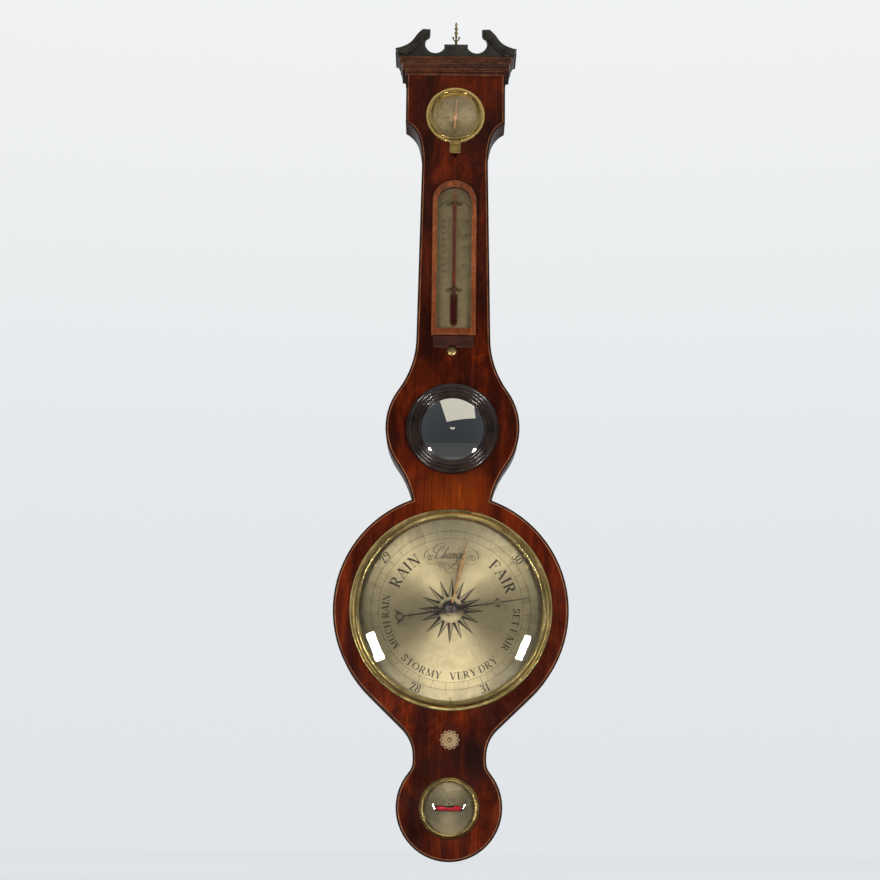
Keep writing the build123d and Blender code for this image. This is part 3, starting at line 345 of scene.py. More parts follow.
def glass(name, tint, rough=0.008, index=1.48):
    """Clear glass that lets the lamps' light through to what it covers."""
    look = Look(name)
    haze = look.noise(look.place, 55.0, 5.0, 0.6, 0.5)
    look.set("Base Color", tint)
    look.set("Roughness", look.span(haze, 0.35, 0.75, rough, rough + 0.02))
    look.set("IOR", index)
    look.set("Transmission Weight", 1.0)
    look.set("Normal", look.bump(look.noise(look.place, 30.0, 2.0), 0.03, 0.002))
    lamps = look.add("ShaderNodeBsdfTransparent")
    lamps.inputs[0].default_value = (0.96, 0.97, 0.96, 1.0)
    ray = look.add("ShaderNodeLightPath")
    choose = look.add("ShaderNodeMixShader")
    look.link(ray.outputs["Is Shadow Ray"], choose.inputs[0])
    look.link(look.shader.outputs[0], choose.inputs[1])
    look.link(lamps.outputs[0], choose.inputs[2])
    look.link(choose.outputs[0], look.out.inputs["Surface"])
    return look


MAHOGANY_DARK = (0.014, 0.0024, 0.0014)
MAHOGANY = (0.068, 0.0074, 0.0021)
MAHOGANY_LIGHT = (0.225, 0.027, 0.0032)
MAHOGANY_FIRE = (0.360, 0.060, 0.0050)

# Warmth of the veneer from the foot of the case to its top, where 0.4 is the top of the drum.
TONE = ((0.0, 0.20), (0.12, 0.10), (0.20, 0.26), (0.28, 0.36), (0.37, 0.50), (0.42, 0.80),
        (0.47, 0.12), (0.60, 0.06), (0.84, 0.04), (0.95, 0.16), (1.0, 0.20))
# Clouds and flames in the veneer: x, z, radius, weight and colour.
CLOUDS = ((-0.047, -0.082, 0.036, 0.90, MAHOGANY_DARK), (0.046, -0.060, 0.034, 1.00, MAHOGANY_DARK),
          (0.026, -0.782, 0.036, 1.00, MAHOGANY_DARK), (-0.036, -0.300, 0.070, 0.70, MAHOGANY_DARK),
          (-0.085, -0.560, 0.050, 0.60, MAHOGANY_DARK), (0.036, -0.230, 0.060, 0.60, MAHOGANY_DARK),
          (-0.052, -0.420, 0.040, 1.00, MAHOGANY_DARK), (0.000, -0.500, 0.050, 0.70, MAHOGANY_FIRE),
          (-0.030, -0.360, 0.030, 0.25, MAHOGANY_LIGHT), (0.010, -0.028, 0.040, 0.45, MAHOGANY_LIGHT))
veneer = wood("mahogany_veneer", MAHOGANY_DARK, MAHOGANY, MAHOGANY_LIGHT, tone=TONE, gloss=0.10,
              rough=0.30, sheen=0.06, clouds=CLOUDS)
# Painted shade in each quirk and under each step of the cornice, as dark bands from its foot to its top.
QUIRK_SHADE = ((0.0, 0.2), (0.10, 0.1), (0.17, 0.95), (0.22, 0.1), (0.29, 0.0), (0.36, 0.9),
          (0.43, 0.3), (0.52, 0.1), (0.62, 0.5), (0.70, 0.95), (0.76, 0.3), (0.92, 0.0))
# Rubbed edges, lighter also as a painted highlight along the edges of the cornice and the thermometer frame.
RUBBED_AND_GLINT = (0.60, 0.27, 0.13)
cornice_foot, cornice_head = (corner.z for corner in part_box("cornice_front"))
moulding = wood("mahogany_moulding", MAHOGANY_DARK, (0.085, 0.018, 0.0070), (0.22, 0.054, 0.016),
                across=True, edge=RUBBED_AND_GLINT, gloss=0.20, sheen=0.2, edge_width=0.0011,
                quirk_shade=(cornice_foot, cornice_head, QUIRK_SHADE))
return_wood = wood("mahogany_return", MAHOGANY_DARK, (0.034, 0.011, 0.007), (0.070, 0.024, 0.013),
                   edge=(0.17, 0.085, 0.05), gloss=0.12, sheen=0.12)
box_wood = wood("thermometer_frame_wood", (0.085, 0.016, 0.004), (0.28, 0.058, 0.010),
                (0.50, 0.135, 0.028), figure=60.0, band=60.0, edge=RUBBED_AND_GLINT, gloss=0.35, pores=0.8)
block_wood = wood("keeper_block_wood", (0.018, 0.006, 0.005), (0.070, 0.018, 0.010),
                  (0.11, 0.034, 0.018), across=True, edge=(0.20, 0.08, 0.05), gloss=0.25)
side_wood = wood("case_side_wood", (0.012, 0.005, 0.004), (0.060, 0.016, 0.009),
                 (0.105, 0.030, 0.014), edge=(0.16, 0.10, 0.08), gloss=0.05, sheen=0.05, rough=0.45)
pine = wood("aged_pine", (0.095, 0.050, 0.022), (0.27, 0.16, 0.075), (0.36, 0.23, 0.115),
            figure=10.0, band=70.0, fibre=420.0, gloss=0.0, rough=0.62, edge=(0.42, 0.29, 0.16),
            pores=0.3)
ebony = plain_paint("ebony_line", (0.009, 0.0045, 0.0035), (0.026, 0.011, 0.008), 140.0, 0.48,
                    gloss=0.08, edge=(0.07, 0.035, 0.025), sheen=0.10)
ebonised = plain_paint("ebonised_wood", (0.010, 0.009, 0.0075), (0.036, 0.032, 0.024), 75.0, 0.36,
                       gloss=0.22, edge=(0.15, 0.135, 0.100), sheen=0.30)
# The reeds' light edge colour is a painted highlight along their ridges.
reeded = plain_paint("reeded_frame", (0.008, 0.0045, 0.004), (0.024, 0.012, 0.009), 60.0, 0.16,
                     bump=0.04, gloss=0.80, edge=(0.20, 0.120, 0.080), sheen=0.40)
boxwood = plain_paint("boxwood_line", (0.40, 0.150, 0.060), (0.15, 0.040, 0.016), 60.0, 0.40,
                      gloss=0.2, sheen=0.2)
bone = plain_paint("aged_bone", (0.46, 0.32, 0.155), (0.30, 0.18, 0.07), 210.0, 0.38, gloss=0.2,
                   edge=(0.66, 0.52, 0.32))
bone.set("Subsurface Weight", 0.25)
bone.set("Subsurface Radius", (0.0012, 0.0007, 0.0004))
silk = plain_paint("silk_thread", (0.34, 0.29, 0.20), (0.20, 0.16, 0.10), 900.0, 0.6, bump=0.5)
silk.set("Sheen Weight", 0.4)
straw = plain_paint("oat_straw", (0.46, 0.31, 0.11), (0.30, 0.19, 0.06), 700.0, 0.55)
cork = plain_paint("cork", (0.36, 0.21, 0.10), (0.20, 0.11, 0.05), 420.0, 0.8, bump=0.8)
quicksilver = plain_paint("quicksilver", (0.74, 0.75, 0.78), (0.66, 0.67, 0.70), 60.0, 0.10,
                          bump=0.02, metallic=1.0)

BRASS_DIRT = (0.10, 0.068, 0.028)
bezel_brass = metal("bezel_brass", (0.90, 0.70, 0.290), (0.70, 0.53, 0.190), BRASS_DIRT, rough=0.20,
                    spots=45.0, wear=0.25, turned=True, grime=0.06, grit=0.012)
old_brass = metal("old_brass", (0.76, 0.57, 0.22), (0.52, 0.38, 0.14), BRASS_DIRT, rough=0.22,
                  spots=120.0, wear=0.25, turned=True, grime=0.12, grit=0.02)
small_brass = metal("small_brass", (0.62, 0.455, 0.175), (0.30, 0.215, 0.085), BRASS_DIRT,
                    rough=0.34, spots=240.0)
clip_brass = metal("clip_brass", (0.20, 0.15, 0.07), (0.07, 0.05, 0.025), (0.02, 0.014, 0.008),
                   rough=0.4, spots=300.0)
dark_brass = metal("finial_brass", (0.46, 0.34, 0.14), (0.17, 0.115, 0.045), (0.04, 0.028, 0.014),
                   rough=0.34, spots=420.0, wear=0.9, grime=0.8)
gilt = metal("gilt", (0.42, 0.26, 0.12), (0.28, 0.165, 0.075), (0.12, 0.06, 0.03), rough=0.36,
             spots=300.0, grime=0.35)
needle_gilt = metal("needle_gilt", (1.0, 0.60, 0.34), (0.80, 0.42, 0.22), (0.30, 0.13, 0.06),
                    rough=0.40, spots=300.0, grime=0.2)
blued = metal("blued_steel", (0.060, 0.045, 0.050), (0.030, 0.022, 0.024), (0.012, 0.008, 0.008),
              rough=0.32, spots=260.0, wear=0.5)

dial_centre = middle("dial_plate")
hygro_centre = middle("hygrometer_dial")
level_centre = middle("level_dial")
plate_centre = middle("thermometer_scale")

silver_dial = silvered("silvered_dial", dial_centre, 0.1017, (0.35, 0.293, 0.178),
                       (0.26, 0.218, 0.132), (0.145, 0.126, 0.080), brushed=0.80, rough=0.41)
silver_hygro = silvered("silvered_hygrometer", hygro_centre, 0.0282, (0.46, 0.365, 0.200),
                        (0.36, 0.285, 0.150), (0.44, 0.31, 0.085), brushed=0.55, rough=0.46,
                        spots=110.0)
silver_level = silvered("silvered_level", level_centre, 0.0296, (0.120, 0.098, 0.058),
                        (0.080, 0.068, 0.042), (0.17, 0.120, 0.046), brushed=0.5, rough=0.42,
                        stain=0.8)
silver_plate = silvered("silvered_plate", plate_centre, 0.40, (0.285, 0.225, 0.130),
                        (0.205, 0.162, 0.092), (0.15, 0.12, 0.07), brushed=0.0, rough=0.50,
                        stain=0.6)
clear = glass("dial_glass", (0.985, 0.985, 0.965))
pane = glass("thermometer_pane", (0.985, 0.99, 0.965), rough=0.002, index=1.16)
tube_glass = glass("tube_glass", (0.97, 0.985, 0.96))
rosy_glass = glass("rosy_glass", (0.90, 0.62, 0.54))
mirror = Look("mirror_silver", metallic=1.0)
foxing = mirror.noise(mirror.place, 260.0, 4.0, 0.6)
mirror.set("Base Color", mirror.mix(mirror.ramp(foxing, (0.20, 0.8), (0.30, 0.0)),
                                    (0.80, 0.81, 0.80), (0.22, 0.19, 0.15)))
mirror.set("Roughness", mirror.span(foxing, 0.2, 0.4, 0.10, 0.012))
mirror.set("Coat Weight", 0.6)
mirror.set("Coat Roughness", 0.01)

LOOKS = {
    veneer: ["face_veneer"],
    moulding: ["cornice_front"],
    return_wood: ["cornice_returns", "pediment_returns"],
    box_wood: ["thermometer_box"],
    block_wood: ["keeper_block"],
    side_wood: ["case_carcass"],
    ebony: ["ebony_edging"],
    boxwood: ["boxwood_stringing"],
    ebonised: ["pediment_board", "swan_necks"],
    reeded: ["mirror_frame"],
    dark_brass: ["finial", "keeper_screw", "set_arbor", "set_arbor_bush"],
    clip_brass: ["thermometer_clips"],
    old_brass: ["hygrometer_bezel", "level_bezel", "hygrometer_cup"],
    bezel_brass: ["main_bezel", "bezel_flange", "bezel_hinge_leaf"],
    small_brass: ["hygrometer_keeper", "indicator_arbor", "float_pulley", "pulley_bridge",
                  "set_pipe", "door_hinge_leaves", "door_hinge_plates", "door_button",
                  "hanger_plate", "case_screws"],
    silver_dial: ["dial_plate"],
    silver_hygro: ["hygrometer_dial"],
    silver_level: ["level_dial"],
    silver_plate: ["thermometer_scale"],
    clear: ["hygrometer_glass", "dial_glass", "level_glass"],
    pane: ["thermometer_glass"],
    rosy_glass: ["thermometer_tube"],
    tube_glass: ["siphon_tube", "float", "counterweight", "level_vial"],
    gilt: ["set_hand"],
    needle_gilt: ["hygrometer_needle"],
    blued: ["indicator_hand"],
    straw: ["oat_beard"],
    mirror: ["mirror_glass"],
    pine: ["mirror_backing", "back_door", "channel_covers"],
    silk: ["set_cord", "float_thread", "counterweight_thread"],
    bone: ["set_rosette"],
    quicksilver: ["mercury"],
    cork: ["tube_corks"],
}
for look, names in LOOKS.items():
    for name in names:
        for slot in nodes[name].material_slots:
            slot.link = "OBJECT"
            slot.material = look.material


# ---------------------------------------------------------------- engraving

# Letters are drawn one unit high: widths of the pen's strokes, and the space between letters.
THICK = 0.17
THIN = 0.055
LETTER_GAP = 0.14


def smooth(points, steps=6):
    """A Catmull-Rom curve through the points."""
    ends = [points[0]] + list(points) + [points[-1]]
    result = []
    for index in range(1, len(ends) - 2):
        before, here, after, beyond = ends[index - 1:index + 3]
        for step in range(steps):
            t = step / steps
            result.append(tuple(
                0.5 * (2 * b + (c - a) * t + (2 * a - 5 * b + 4 * c - d) * t * t
                       + (3 * b - a - 3 * c + d) * t ** 3)
                for a, b, c, d in zip(before, here, after, beyond)))
    result.append(tuple(points[-1]))
    return result


def line(x0, z0, x1, z1, weight=THIN):
    return [(x0, z0), (x1, z1)], [weight, weight]


def serif(x, z, half=0.14):
    return line(x - half, z, x + half, z)


def stem(x, low=0.0, high=1.0, weight=THICK, feet=(True, True)):
    strokes = [line(x, low, x, high, weight)]
    if feet[0]:
        strokes.append(serif(x, low))
    if feet[1]:
        strokes.append(serif(x, high))
    return strokes


def bow(x, z, wide, high, start, end, steps=14):
    """Part of an oval, thick where it runs upright."""
    points, weights = [], []
    for step in range(steps + 1):
        angle = math.radians(start + (end - start) * step / steps)
        points.append((x + wide * math.cos(angle), z + high * math.sin(angle)))
        weights.append(THIN + (THICK - THIN) * abs(math.cos(angle)) ** 1.4)
    return points, weights


def pen(points, heavy=THICK, slim=THIN, down_only=False):
    """A curve through points, thick where it runs upright or downward."""
    curve = smooth(points)
    weights = []
    for index in range(len(curve)):
        first = curve[max(0, index - 1)]
        last = curve[min(len(curve) - 1, index + 1)]
        run, rise = last[0] - first[0], last[1] - first[1]
        length = math.hypot(run, rise) or 1.0
        upright = abs(rise) / length
        if down_only and rise > 0:
            upright = 0.0
        weights.append(slim + (heavy - slim) * upright ** 1.5)
    return curve, weights


BOWL = [bow(0.32, 0.74, 0.30, 0.25, 90, -90), line(0.16, 0.99, 0.32, 0.99), line(0.16, 0.49, 0.32, 0.49)]
SIX = [(0.47, 0.90), (0.32, 0.99), (0.14, 0.82), (0.07, 0.40), (0.14, 0.08), (0.30, 0.01), (0.47, 0.10),
       (0.51, 0.32), (0.42, 0.53), (0.26, 0.57), (0.10, 0.42)]
GLYPHS = {
    " ": (0.16, []),
    "A": (0.86, [line(0.08, 0, 0.43, 1), line(0.43, 1, 0.78, 0, THICK), line(0.2, 0.36, 0.66, 0.36),
                 serif(0.08, 0), serif(0.78, 0)]),
    "B": (0.74, stem(0.16) + BOWL + [bow(0.34, 0.25, 0.33, 0.25, 90, -90), line(0.16, 0.01, 0.34, 0.01)]),
    "C": (0.84, [bow(0.46, 0.5, 0.38, 0.49, 48, 312), line(0.72, 0.66, 0.74, 0.98)]),
    "D": (0.88, stem(0.16) + [bow(0.38, 0.5, 0.42, 0.49, 90, -90), line(0.16, 0.99, 0.38, 0.99),
                              line(0.16, 0.01, 0.38, 0.01)]),
    "E": (0.74, stem(0.16) + [line(0.16, 0.98, 0.62, 0.98), line(0.16, 0.52, 0.48, 0.52),
                              line(0.16, 0.02, 0.64, 0.02), line(0.62, 1, 0.64, 0.78),
                              line(0.64, 0, 0.68, 0.26), line(0.48, 0.40, 0.48, 0.64)]),
    "F": (0.70, stem(0.16) + [line(0.16, 0.98, 0.62, 0.98), line(0.16, 0.52, 0.48, 0.52),
                              line(0.62, 1, 0.64, 0.76), line(0.48, 0.40, 0.48, 0.64)]),
    "G": (0.88, [bow(0.46, 0.5, 0.38, 0.49, 48, 300), line(0.72, 0.68, 0.74, 0.98)]
          + stem(0.72, 0.06, 0.42, feet=(False, True))),
    "H": (0.92, stem(0.16) + stem(0.74) + [line(0.16, 0.52, 0.74, 0.52)]),
    "I": (0.36, stem(0.18)),
    "L": (0.70, stem(0.16) + [line(0.16, 0.02, 0.62, 0.02), line(0.62, 0, 0.66, 0.28)]),
    "M": (1.08, [line(0.14, 0, 0.15, 1), line(0.15, 1, 0.54, 0.05, THICK), line(0.54, 0.05, 0.90, 1),
                 serif(0.14, 0), serif(0.12, 1, 0.10)] + stem(0.92)),
    "N": (0.92, [line(0.15, 0, 0.15, 1), line(0.15, 1, 0.76, 0.0, THICK), line(0.76, 0.0, 0.76, 1),
                 serif(0.15, 0), serif(0.76, 1), serif(0.12, 1, 0.10)]),
    "O": (0.90, [bow(0.45, 0.5, 0.39, 0.49, 0, 360, 24)]),
    "P": (0.72, stem(0.16) + BOWL),
    "R": (0.84, stem(0.16) + BOWL + [line(0.36, 0.5, 0.70, 0.0, THICK), serif(0.75, 0.01, 0.10)]),
    "S": (0.66, [pen([(0.54, 0.72), (0.50, 0.90), (0.32, 0.99), (0.14, 0.88), (0.12, 0.70), (0.26, 0.57),
                      (0.44, 0.44), (0.55, 0.26), (0.48, 0.08), (0.30, 0.01), (0.12, 0.10), (0.08, 0.30)],
                     slim=0.09)]),
    "T": (0.80, stem(0.40) + [line(0.06, 0.98, 0.74, 0.98), line(0.06, 1, 0.04, 0.74),
                              line(0.74, 1, 0.76, 0.74)]),
    "U": (0.90, [line(0.16, 0.28, 0.16, 1, THICK), bow(0.45, 0.28, 0.29, 0.27, 180, 360),
                 line(0.74, 0.28, 0.74, 1), serif(0.16, 1), serif(0.74, 1)]),
    "V": (0.86, [line(0.10, 1, 0.43, 0, THICK), line(0.43, 0, 0.76, 1), serif(0.10, 1), serif(0.76, 1)]),
    "Y": (0.84, [line(0.10, 1, 0.42, 0.46, THICK), line(0.42, 0.46, 0.74, 1), serif(0.10, 1),
                 serif(0.74, 1)] + stem(0.42, 0, 0.48, feet=(True, False))),
    "Z": (0.74, [line(0.08, 0.98, 0.66, 0.98), line(0.64, 0.98, 0.08, 0.02, THICK),
                 line(0.08, 0.02, 0.68, 0.02)]),
    "0": (0.62, [bow(0.30, 0.5, 0.24, 0.49, 0, 360, 22)]),
    "1": (0.42, stem(0.21, feet=(True, False)) + [line(0.06, 0.80, 0.21, 1)]),
    "2": (0.62, [pen([(0.08, 0.74), (0.14, 0.93), (0.30, 0.99), (0.47, 0.90), (0.50, 0.70), (0.36, 0.42),
                      (0.10, 0.08)]), line(0.08, 0.06, 0.54, 0.06, 0.13)]),
    "3": (0.60, [pen([(0.08, 0.84), (0.20, 0.98), (0.38, 0.96), (0.46, 0.78), (0.38, 0.60), (0.22, 0.54)]),
                 pen([(0.22, 0.54), (0.42, 0.48), (0.51, 0.27), (0.40, 0.05), (0.20, 0.01), (0.06, 0.14)])]),
    "4": (0.64, [line(0.42, 1, 0.05, 0.30), line(0.05, 0.30, 0.60, 0.30)] + stem(0.43, feet=(True, False))),
    "5": (0.60, [line(0.16, 1, 0.12, 0.56), line(0.16, 0.97, 0.50, 0.97, 0.12),
                 pen([(0.12, 0.56), (0.30, 0.62), (0.50, 0.48), (0.51, 0.22), (0.36, 0.03), (0.14, 0.01),
                      (0.06, 0.14)])]),
    "6": (0.60, [pen(SIX)]),
    "7": (0.58, [line(0.06, 0.96, 0.54, 0.96, 0.12), line(0.53, 0.96, 0.20, 0, THICK)]),
    "8": (0.60, [bow(0.30, 0.76, 0.19, 0.23, 0, 360, 18), bow(0.30, 0.27, 0.23, 0.26, 0, 360, 18)]),
    "9": (0.60, [pen([(0.58 - x, 1 - z) for x, z in SIX])]),
}


def on_circle(radius, degrees):
    """A point at an angle clockwise from the top."""
    angle = math.radians(degrees)
    return radius * math.sin(angle), radius * math.cos(angle)


class Engraving:
    """Wax-filled lines on a dial, as one thin mesh just proud of its face.

    Points are (x, z) in millimetres from the dial's centre, and angles run clockwise from the top.
    """

    PROUD = 0.05 * MM
    SUNK = 0.12 * MM

    def __init__(self, node):
        self.centre = middle(node)
        self.front = front_of(node) - self.PROUD
        self.back = front_of(node) + self.SUNK
        self.mesh = bmesh.new()

    def row(self, points, plane):
        """Vertices at the points in a plane."""
        return [self.mesh.verts.new((self.centre.x + x * MM, plane, self.centre.z + z * MM))
                for x, z in points]

    def solid(self, corners):
        """A flat shape from its corners."""
        near = self.row(corners, self.front)
        far = self.row(corners, self.back)
        self.mesh.faces.new(near)
        self.mesh.faces.new(list(reversed(far)))
        for index in range(len(corners)):
            after = (index + 1) % len(corners)
            self.mesh.faces.new((near[after], near[index], far[index], far[after]))

    def stroke(self, points, widths, lay=lambda x, z: (x, z)):
        """A line of changing width along points."""
        left, right = [], []
        for index, (x, z) in enumerate(points):
            first = points[max(0, index - 1)]
            last = points[min(len(points) - 1, index + 1)]
            run, rise = last[0] - first[0], last[1] - first[1]
            length = math.hypot(run, rise) or 1.0
            across = (-rise / length * widths[index] / 2, run / length * widths[index] / 2)
            left.append(lay(x + across[0], z + across[1]))
            right.append(lay(x - across[0], z - across[1]))
        rows = [self.row(left, self.front), self.row(right, self.front),
                self.row(right, self.back), self.row(left, self.back)]
        for index in range(len(points) - 1):
            for first, second in ((0, 1), (1, 2), (2, 3), (3, 0)):
                self.mesh.faces.new((rows[first][index], rows[second][index], rows[second][index + 1],
                                     rows[first][index + 1]))
        self.mesh.faces.new([row[0] for row in reversed(rows)])
        self.mesh.faces.new([row[-1] for row in rows])

    def write(self, text, lay):
        """Lettering, which lay() carries from unit height to its place on the dial."""
        pen_x = 0.0
        for letter in text:
            advance, strokes = GLYPHS[letter]
            for points, widths in strokes:
                fine = []
                fine_widths = []
                pieces = 4 if len(points) == 2 else 1      # straight strokes bend with the circle
                for index in range(len(points) - 1):
                    for step in range(pieces):
                        t = step / pieces
                        fine.append((points[index][0] * (1 - t) + points[index + 1][0] * t + pen_x,
                                     points[index][1] * (1 - t) + points[index + 1][1] * t))
                        fine_widths.append(widths[index])
                fine.append((points[-1][0] + pen_x, points[-1][1]))
                fine_widths.append(widths[-1])
                self.stroke(fine, fine_widths, lay)
            pen_x += advance + LETTER_GAP

    @staticmethod
    def length(text):
        return sum(GLYPHS[letter][0] + LETTER_GAP for letter in text) - LETTER_GAP

    def around(self, text, radius, degrees, height, inward=False, stretch=1.0):
        """Lettering on a circle, its tops outward, or inward where it reads from below."""
        half = self.length(text) / 2
        way = -1 if inward else 1

        def lay(x, z):
            turn = math.radians(degrees) + (x - half) * height * stretch / radius * way
            reach = radius + (z - 0.5) * height * way
            return reach * math.sin(turn), reach * math.cos(turn)

        self.write(text, lay)

    def straight(self, text, x_middle, z_base, height, stretch=1.0):
        half = self.length(text) / 2
        self.write(text, lambda x, z: (x_middle + (x - half) * height * stretch,
                                       z_base + z * height))

    def circle(self, radius, width, start=0.0, end=360.0):
        steps = max(24, int(abs(end - start) / 2))
        points = [on_circle(radius, start + (end - start) * step / steps)
                  for step in range(steps + 1)]
        self.stroke(points, [width] * len(points))

    def tick(self, degrees, inner, outer, width):
        self.stroke([on_circle(inner, degrees), on_circle(outer, degrees)], [width, width])

    def finish(self, name, look):
        """Makes the object, its normals outward, on the case."""
        bmesh.ops.remove_doubles(self.mesh, verts=self.mesh.verts, dist=1e-7)
        bmesh.ops.recalc_face_normals(self.mesh, faces=self.mesh.faces)
        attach(place_mesh(name, self.mesh, look), "case")


wax = plain_paint("engraving_wax", (0.009, 0.007, 0.005), (0.030, 0.023, 0.014), 420.0, 0.55,
                  sheen=0.15)
faint_wax = plain_paint("worn_engraving_wax", (0.010, 0.008, 0.005), (0.030, 0.024, 0.015), 360.0,
                        0.55, sheen=0.1)

# The weather dial, with its scale's inner, middle and outer radii in millimetres.
DEGREES_PER_INCH = 104.0
TOP_INCHES = 29.5
SCALE_IN, SCALE_MID, SCALE_OUT = 80.3, 88.5, 91.0
NUMBER_RADIUS, NUMBER_HEIGHT = 94.2, 8.8
dial = Engraving("dial_plate")
for inches in (28, 29, 30, 31):
    degrees = (inches - TOP_INCHES) * DEGREES_PER_INCH
    dial.around(str(inches), NUMBER_RADIUS, degrees, NUMBER_HEIGHT, inward=abs(degrees) > 90)
for word, degrees, height, radius, inward, stretch in (
        ("RAIN", -50.0, 12.0, 68.6, False, 1.04), ("FAIR", 57.0, 12.0, 70.0, False, 1.06),
        ("MUCH RAIN", -101.5, 7.6, 72.8, False, 1.02), ("SET FAIR", 107.5, 7.6, 73.2, False, 1.06),
        ("STORMY", 206.5, 7.8, 73.4, True, 1.06), ("VERY DRY", 158.5, 7.8, 73.4, True, 1.02)):
    dial.around(word, radius, degrees, height, inward, stretch)
for radius in (SCALE_IN, SCALE_MID):
    dial.circle(radius, 0.34)
tenths = range(-17, 18)        # either side of the top
for tenth in tenths:
    degrees = tenth * DEGREES_PER_INCH / 10
    if (tenth + 5) % 10 == 0:
        dial.tick(degrees, SCALE_IN, SCALE_OUT + 0.5, 0.42)
    else:
        dial.tick(degrees, SCALE_IN, SCALE_MID, 0.32)
        dial.tick(degrees, SCALE_MID, SCALE_OUT, 0.25)
    for part in range(1, 10):
        if tenth < tenths[-1]:
            dial.tick(degrees + part * DEGREES_PER_INCH / 100, SCALE_MID,
                      90.6 if part == 5 else 89.8, 0.16)

# The star: sixteen rays, one half of each filled and the other hatched.
RAYS = 16
RAY_BASE = 14.6
LONG_RAY, SHORT_RAY = 36.6, 34.6
for index in range(RAYS):
    turn = math.radians(index * 360 / RAYS + 2.0)
    reach = SHORT_RAY if index % 2 else LONG_RAY
    side = 3.5

    def corner(along, across):
        return (along * math.sin(turn) + across * math.cos(turn),
                along * math.cos(turn) - across * math.sin(turn))

    dial.solid([corner(reach, 0), corner(RAY_BASE, 0), corner(RAY_BASE - 0.4, side)])
    for part in (0.45, 0.8, 1.0):
        dial.stroke([corner(RAY_BASE, -side * part), corner(reach - 3.5 * (1 - part), -0.1)],
                    [0.62 if part == 1.0 else 0.42, 0.22])
# Fine curved hatching inside the star, heavier on one side.
HATCHES = 96
HATCH_BEND = 0.05
random.seed(11)
for index in range(HATCHES):
    turn = math.radians(index * 360 / HATCHES)
    shade = 0.5 + 0.5 * math.cos(turn + 0.5)
    inner = 5.4 + random.random() * 1.2
    outer = inner + 2.2 + 6.2 * shade * (0.6 + 0.4 * random.random())
    points = [(radius * math.sin(turn + HATCH_BEND * step), radius * math.cos(turn + HATCH_BEND * step))
              for step, radius in enumerate((inner, (inner + outer) / 2, outer))]
    dial.stroke(points, [0.46 * (0.4 + shade), 0.40 * (0.4 + shade), 0.10])
wave = [on_circle(14.2 + 0.9 * math.cos(math.radians(8 * degrees)), degrees)
        for degrees in range(0, 361, 4)]
dial.stroke(wave, [0.32] * len(wave))

# Round-hand letters: each one's advance, and the points its pen strokes pass through.
ROUND = [(0.62, 0.88), (0.35, 1.0), (0.10, 0.6), (0.10, 0.15), (0.30, 0.0), (0.50, 0.35), (0.65, 0.95)]
SCRIPT = {
    "h": (0.86, [[(0, 0), (0.30, 1.5), (0.50, 2.1), (0.56, 1.8), (0.10, 0.0)],
                 [(0.10, 0), (0.30, 0.85), (0.55, 0.95), (0.58, 0.7), (0.50, 0.15), (0.62, 0), (0.86, 0.3)]]),
    "a": (0.86, [ROUND, [(0.65, 0.95), (0.54, 0.2), (0.65, 0), (0.86, 0.3)]]),
    "n": (0.84, [[(0, 0.72), (0.15, 0.95), (0.20, 0.8), (0.10, 0)],
                 [(0.10, 0.0), (0.30, 0.8), (0.52, 0.97), (0.60, 0.72), (0.50, 0.15), (0.62, 0),
                  (0.84, 0.3)]]),
    "g": (0.86, [ROUND,
                 [(0.65, 0.95), (0.48, -0.6), (0.22, -1.1), (-0.05, -0.85), (0.2, -0.4), (0.86, 0.3)]]),
    "e": (0.62, [[(0.05, 0.42), (0.40, 0.58), (0.50, 0.85), (0.32, 1.0), (0.10, 0.7), (0.08, 0.2), (0.28, 0),
                  (0.66, 0.3)]]),
    "C": (1.16, [[(0.98, 1.75), (1.06, 2.05), (0.80, 2.25), (0.36, 1.75), (0.10, 0.85), (0.30, 0.05),
                  (0.80, 0.0), (1.16, 0.45)],
                 [(1.06, 2.05), (0.60, 2.75), (-0.35, 2.45), (-0.70, 1.55), (-0.30, 1.05), (0.25, 1.30)]]),
}


def script(word, x_start, z_base, size, slant=0.38):
    x = x_start
    for letter in word:
        advance, strokes = SCRIPT[letter]
        for points in strokes:
            placed = [(x + (px + pz * slant) * size, z_base + pz * size) for px, pz in points]
            dial.stroke(*pen(placed, heavy=1.05, slim=0.28, down_only=True))
        x += advance * size


def scroll(x, z, size, turns, flip, start=0.0):
    """A spiral flourish that opens as it goes round."""
    points = []
    steps = int(turns * 14)
    for step in range(steps + 1):
        angle = start + step / 14 * 2 * math.pi
        reach = size * (0.18 + 0.82 * step / steps)
        points.append((x + flip * reach * 1.5 * math.cos(angle), z + reach * math.sin(angle)))
    widths = [0.22 + 0.48 * abs(math.sin(math.pi * step / steps * 3)) for step in range(steps + 1)]
    dial.stroke(points, widths)


script("Change", -19.0, 57.5, 6.3)
for flip in (-1, 1):
    scroll(flip * 23.5, 58.0, 3.6, 1.6, flip)
    scroll(flip * 9.5, 50.2, 2.9, 1.5, -flip, 1.2)
    dial.stroke(*pen([(flip * 30.5, 57.0), (flip * 29.0, 64.0), (flip * 22.0, 69.5), (flip * 13.0, 71.0),
                      (flip * 8.0, 68.6), (flip * 11.0, 66.4), (flip * 16.0, 67.6)], heavy=0.72, slim=0.24))
    dial.stroke(*pen([(flip * 27.5, 53.0), (flip * 20.0, 50.5), (flip * 12.0, 53.5), (flip * 4.0, 51.5),
                      (flip * 1.0, 47.5), (flip * 5.5, 45.5), (flip * 9.0, 47.8)], heavy=0.72, slim=0.24))
dial.stroke(*pen([(-7.0, 44.8), (-4.0, 41.8), (0.0, 41.0), (4.0, 41.8), (7.0, 44.8)], heavy=0.72, slim=0.26))
dial.finish("dial_engraving", wax)

